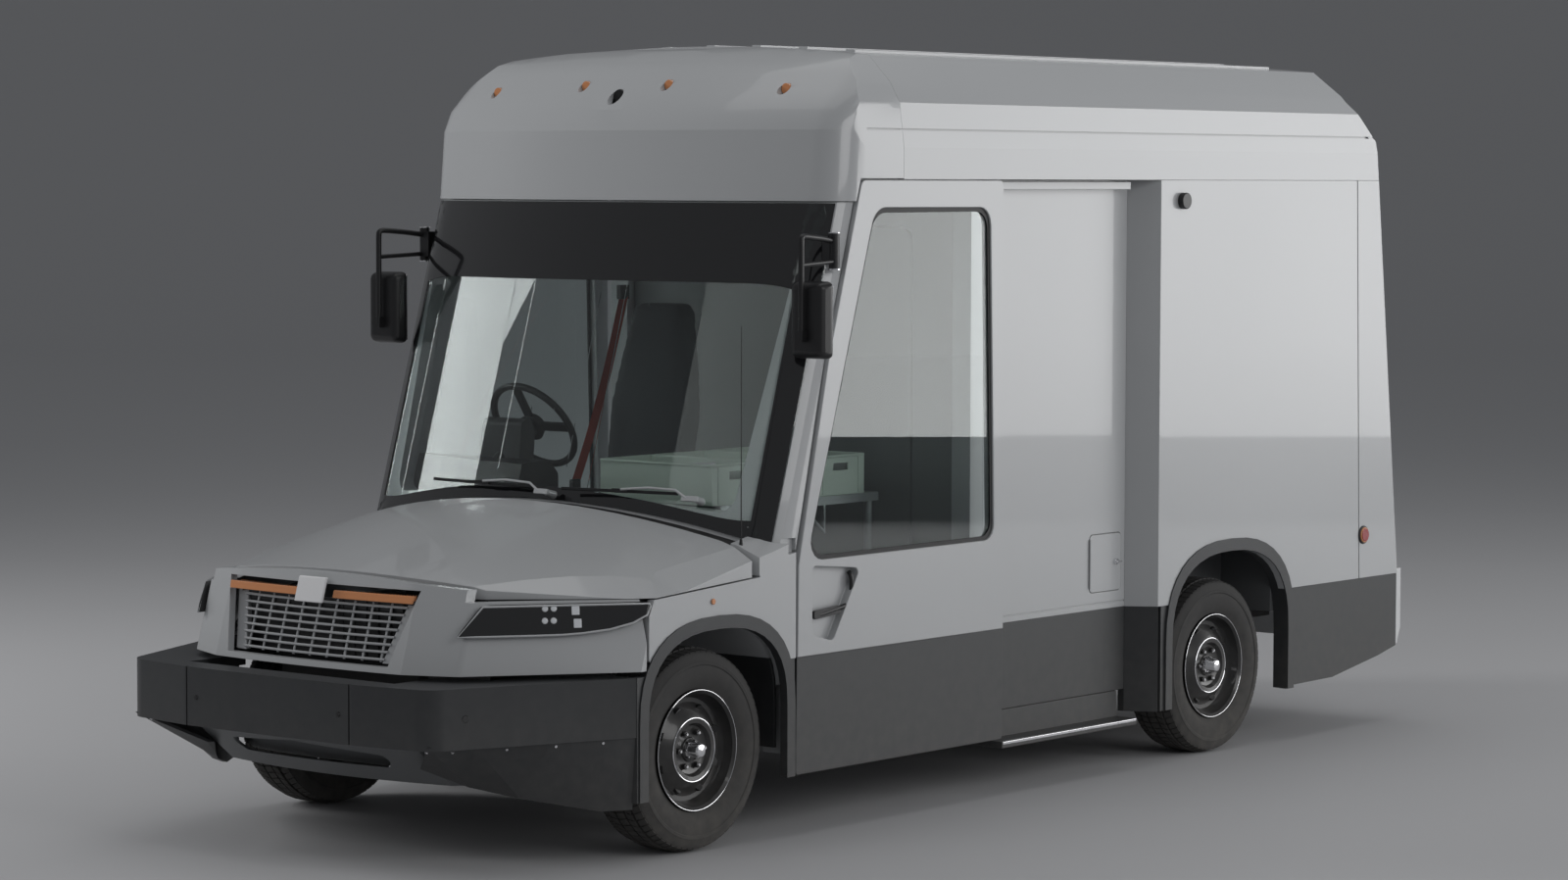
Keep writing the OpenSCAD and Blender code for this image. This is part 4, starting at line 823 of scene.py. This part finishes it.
# %% Wipers
def wiper(node, x, length):
    yaw = asin((x - length / 2) / 3000)
    y = SCREEN_Y + 3000 - 3000 * cos(yaw) + math_tan(yaw) * length / 2
    place = (Matrix.Translation((x, y + RAKE * 150 - 8, COWL_Z + 168)) @ Matrix.Rotation(yaw, 4, "Z")
             @ Matrix.Rotation(-atan(RAKE), 4, "X"))
    arm = bmesh.new()
    rod(arm, (0, 8, 0), (0, -38, 0), 15, 12)
    block(arm, (-60, -46, -9), (12, -34, 11))
    tube(arm, [(-40, -42, 2), (-90, -46, 30), (-length * 0.35, -46, 34), (-length * 0.55, -42, 24)], 5, smooth=False)
    blade = bmesh.new()
    block(blade, (-length, -36, 14), (-length * 0.14, -27, 25))
    block(blade, (-length * 0.97, -27, 18), (-length * 0.17, -21, 21))
    block(blade, (-length * 0.62, -42, 12), (-length * 0.5, -34, 27))
    for part, bm, mat in (("arm", arm, SILVER), ("blade", blade, TRIM)):
        bmesh.ops.transform(bm, matrix=place, verts=bm.verts)
        made(f"{node}_{part}", bm, mat, "trim_black", body_of_node[node], node, round_edge=0.0015)


wiper("wiper_left", 760, 600)
wiper("wiper_right", 110, 640)

# %% [markdown]
# The steering wheel has a thick rim, three flat spokes and a padded middle.

# %% Steering wheel
def steering_wheel():
    place = Matrix.Translation((-430, -1147, 1462)) @ Matrix.Rotation(radians(-56), 4, "X")
    bm = bmesh.new()
    ring_r, thick = 190, 14
    circle = [(ring_r + thick * cos(k * pi / 8), thick * sin(k * pi / 8)) for k in range(17)]
    verts = [bm.verts.new((r, 0, z)) for r, z in circle[:-1]]
    edges = [bm.edges.new((verts[i - 1], v)) for i, v in enumerate(verts)]
    bmesh.ops.spin(bm, geom=verts + edges, cent=(0, 0, 0), axis=(0, 0, 1), angle=2 * pi, steps=64, use_merge=True)
    rod(bm, (0, 0, -24), (0, 0, 18), 58, 46)
    for a in (0, 180, 270):
        verts = block(bm, (44, -20, -10), (180, 20, 4))
        bmesh.ops.rotate(bm, cent=(0, 0, 0), matrix=Matrix.Rotation(radians(a), 3, "Z"), verts=verts)
    bmesh.ops.transform(bm, matrix=place, verts=bm.verts)
    made("steering_wheel_rim", bm, DASH, "trim_black", body_of_node["steering_wheel"], "steering_wheel",
         round_edge=0.004)


steering_wheel()

# %% [markdown]
# Cushions start as the plain CAD solids. Each is remeshed to an even skin, blown up a little as cloth
# with air pressure inside, and held to a small movement so that it keeps its seat.

# %% Seat
def evaluated(piece):
    graph = bpy.context.evaluated_depsgraph_get()
    return bpy.data.meshes.new_from_object(piece.evaluated_get(graph))


def stuffed(node, most=0.012):
    """A CAD cushion as a soft one."""
    body, slot = body_of_node[node], slot_of_node[node]
    piece = finish_mesh(node + "_soft", welded(node), CLOTH, slot, body, node)
    remesh = piece.modifiers.new("remesh", "REMESH")
    remesh.mode = "VOXEL"
    remesh.voxel_size = 0.009
    mesh = evaluated(piece)
    piece.modifiers.clear()
    bm = bmesh.new()
    bm.from_mesh(mesh)
    for _ in range(6):
        bmesh.ops.smooth_vert(bm, verts=bm.verts, factor=0.5, use_axis_x=True, use_axis_y=True, use_axis_z=True)
    bm.to_mesh(mesh)
    bm.free()
    piece.data = mesh
    rest = [v.co.copy() for v in mesh.vertices]
    cloth = piece.modifiers.new("cloth", "CLOTH")
    cloth.settings.use_pressure = True
    cloth.settings.uniform_pressure_force = 4
    cloth.settings.effector_weights.gravity = 0
    cloth.point_cache.frame_start, cloth.point_cache.frame_end = 1, 20
    for frame_number in range(1, 21):
        bpy.context.scene.frame_set(frame_number)
    blown = evaluated(piece)
    piece.modifiers.clear()
    for vertex, home, moved in zip(mesh.vertices, rest, blown.vertices):
        step = moved.co - home
        vertex.co = home + step * min(1, most / max(step.length, 1e-9))
    bpy.context.scene.frame_set(1)
    mesh.shade_smooth()
    mesh.materials.clear()
    mesh.materials.append(CLOTH)
    return piece


stuffed("seat_cushion")
stuffed("seat_back")


def strap():
    """The shoulder belt: a thin ribbon that hangs in a shallow curve from the pillar to its buckle."""
    top, low = Vector((-830, -156, 1940)), Vector((-695, -609, 1190))
    bm = bmesh.new()
    bmesh.ops.create_grid(bm, x_segments=24, y_segments=1, size=0.5)
    for v in bm.verts:
        t = v.co.x + 0.5
        across = Vector((0.3, 0.9, 0.25)).normalized() * 46 * v.co.y
        v.co = top.lerp(low, t) + Vector((36, -30, -20)) * sin(pi * t) + across
    bmesh.ops.solidify(bm, geom=bm.faces[:], thickness=2.5)
    made("seat_belt_strap", bm, BELT, "belt_web", "chassis", "seat_belt")
    ends = bmesh.new()
    block(ends, (-849, -181, 1930), (-822, -126, 1990))
    block(ends, (-708, -634, 601), (-684, -586, 1205))
    made("seat_belt_ends", ends, TRIM, "trim_black", "chassis", "seat_belt", round_edge=0.004)


strap()

# %% [markdown]
# Trays get the rolled rim that lets them be lifted and stacked, and upright ribs on their ends.

# %% Trays
rims = bmesh.new()
for k in range(3):
    x0, x1, y0, y1, z = 64, 626, -1313 + 314 * k, -1011 + 314 * k, 1356
    corners = rounded([(x0, y0), (x1, y0), (x1, y1), (x0, y1)], [16] * 4)
    tube(rims, [(x, y, z) for x, y in corners], 5.5, closed=True, smooth=False)
    for y in (y0 + 40, y1 - 40):
        block(rims, (x1 - 4, y - 4, 1210), (x1 + 2, y + 4, 1350))
made("tray_rims", rims, TRAY, "tray_plastic", "chassis", round_edge=0.0015)
letters = bmesh.new()
for k in range(3):
    for n in range(14):
        lean = 5 * ((n * 7) % 5)
        x = 330 + 17 * n
        verts = block(letters, (x, -1300 + 314 * k, 1211), (x + 3, -1040 + 314 * k, 1330 + 3 * ((n * 5) % 7)))
        for v in verts:
            v.co.x += lean if v.co.z > 1300 else 0
made("letters", letters, WHITE, "tray_plastic", "chassis", round_edge=0.0008)

# %% [markdown]
# A rubber seal lines each cab window, and the pull handle is a bent bar across its recess.

# %% Doors
DOOR_Y0, DOOR_Y1 = -1339, -41
WINDOW = [(DOOR_Y0 + 57, 1022), (DOOR_Y1 - 66, 1025), (DOOR_Y1 - 100, 2327), (DOOR_Y0 + 464, 2329)]
for side, name in ((1, "left"), (-1, "right")):
    body = body_of_node[f"door_{name}"]
    outer = rounded(WINDOW, [70, 60, 70, 90])
    middle = Vector((-650, 1680))
    inner = [tuple(Vector(p) + (middle - Vector(p)).normalized() * 20) for p in outer]
    seal = bmesh.new()
    frame_ring(seal, outer, inner, side_place(1043), (8, 0, 0))
    pull = bmesh.new()
    tube(pull, [(1040, -1225, 815), (1048, -1205, 812), (1049, -1120, 826), (1049, -1030, 838), (1049, -1004, 852),
                (1049, -1000, 900), (1048, -999, 950), (1034, -999, 962)], 9)
    for part, bm, mat in (("seal", seal, SEAL), ("pull", pull, TRIM)):
        if side < 0:
            bmesh.ops.scale(bm, vec=(-1, 1, 1), verts=bm.verts)
        made(f"door_{name}_{part}", bm, mat, "trim_black", body)

# %% [markdown]
# At the tail, each lamp is divided into three lenses, and each rear door has a latch handle.

# %% Tail
def tail_place(x, z, out=0):
    return (x, 3027 - 51 - 0.113 * (z - 702) + 14 + out, z)


for name, mat, z0, z1 in (("brake", RED, 765, 905), ("turn", AMBER, 912, 1040), ("reverse", WHITE, 1047, 1175)):
    bm = bmesh.new()
    for x in (953, 971, 989, 1007):
        tube(bm, [tail_place(x, z0 + 8), tail_place(x, (z0 + z1) / 2, 1), tail_place(x, z1 - 8)], 7)
    mirrored(bm)
    made(f"tail_{name}", bm, mat, "lamp_red", "chassis")
for side, name in ((1, "left"), (-1, "right")):
    bm = bmesh.new()
    block(bm, (side * 40 - 16, 2950, 1180), (side * 40 + 16, 2962, 1330))
    tube(bm, [(side * 40, 2955, 1195), (side * 40, 2984, 1215), (side * 40, 2978, 1300), (side * 40, 2945, 1318)], 8)
    for v in bm.verts:
        v.co.y -= 0.113 * (v.co.z - 900) - 6
    made(f"rear_door_{name}_latch", bm, TRIM, "trim_black", body_of_node[f"rear_door_{name}"])
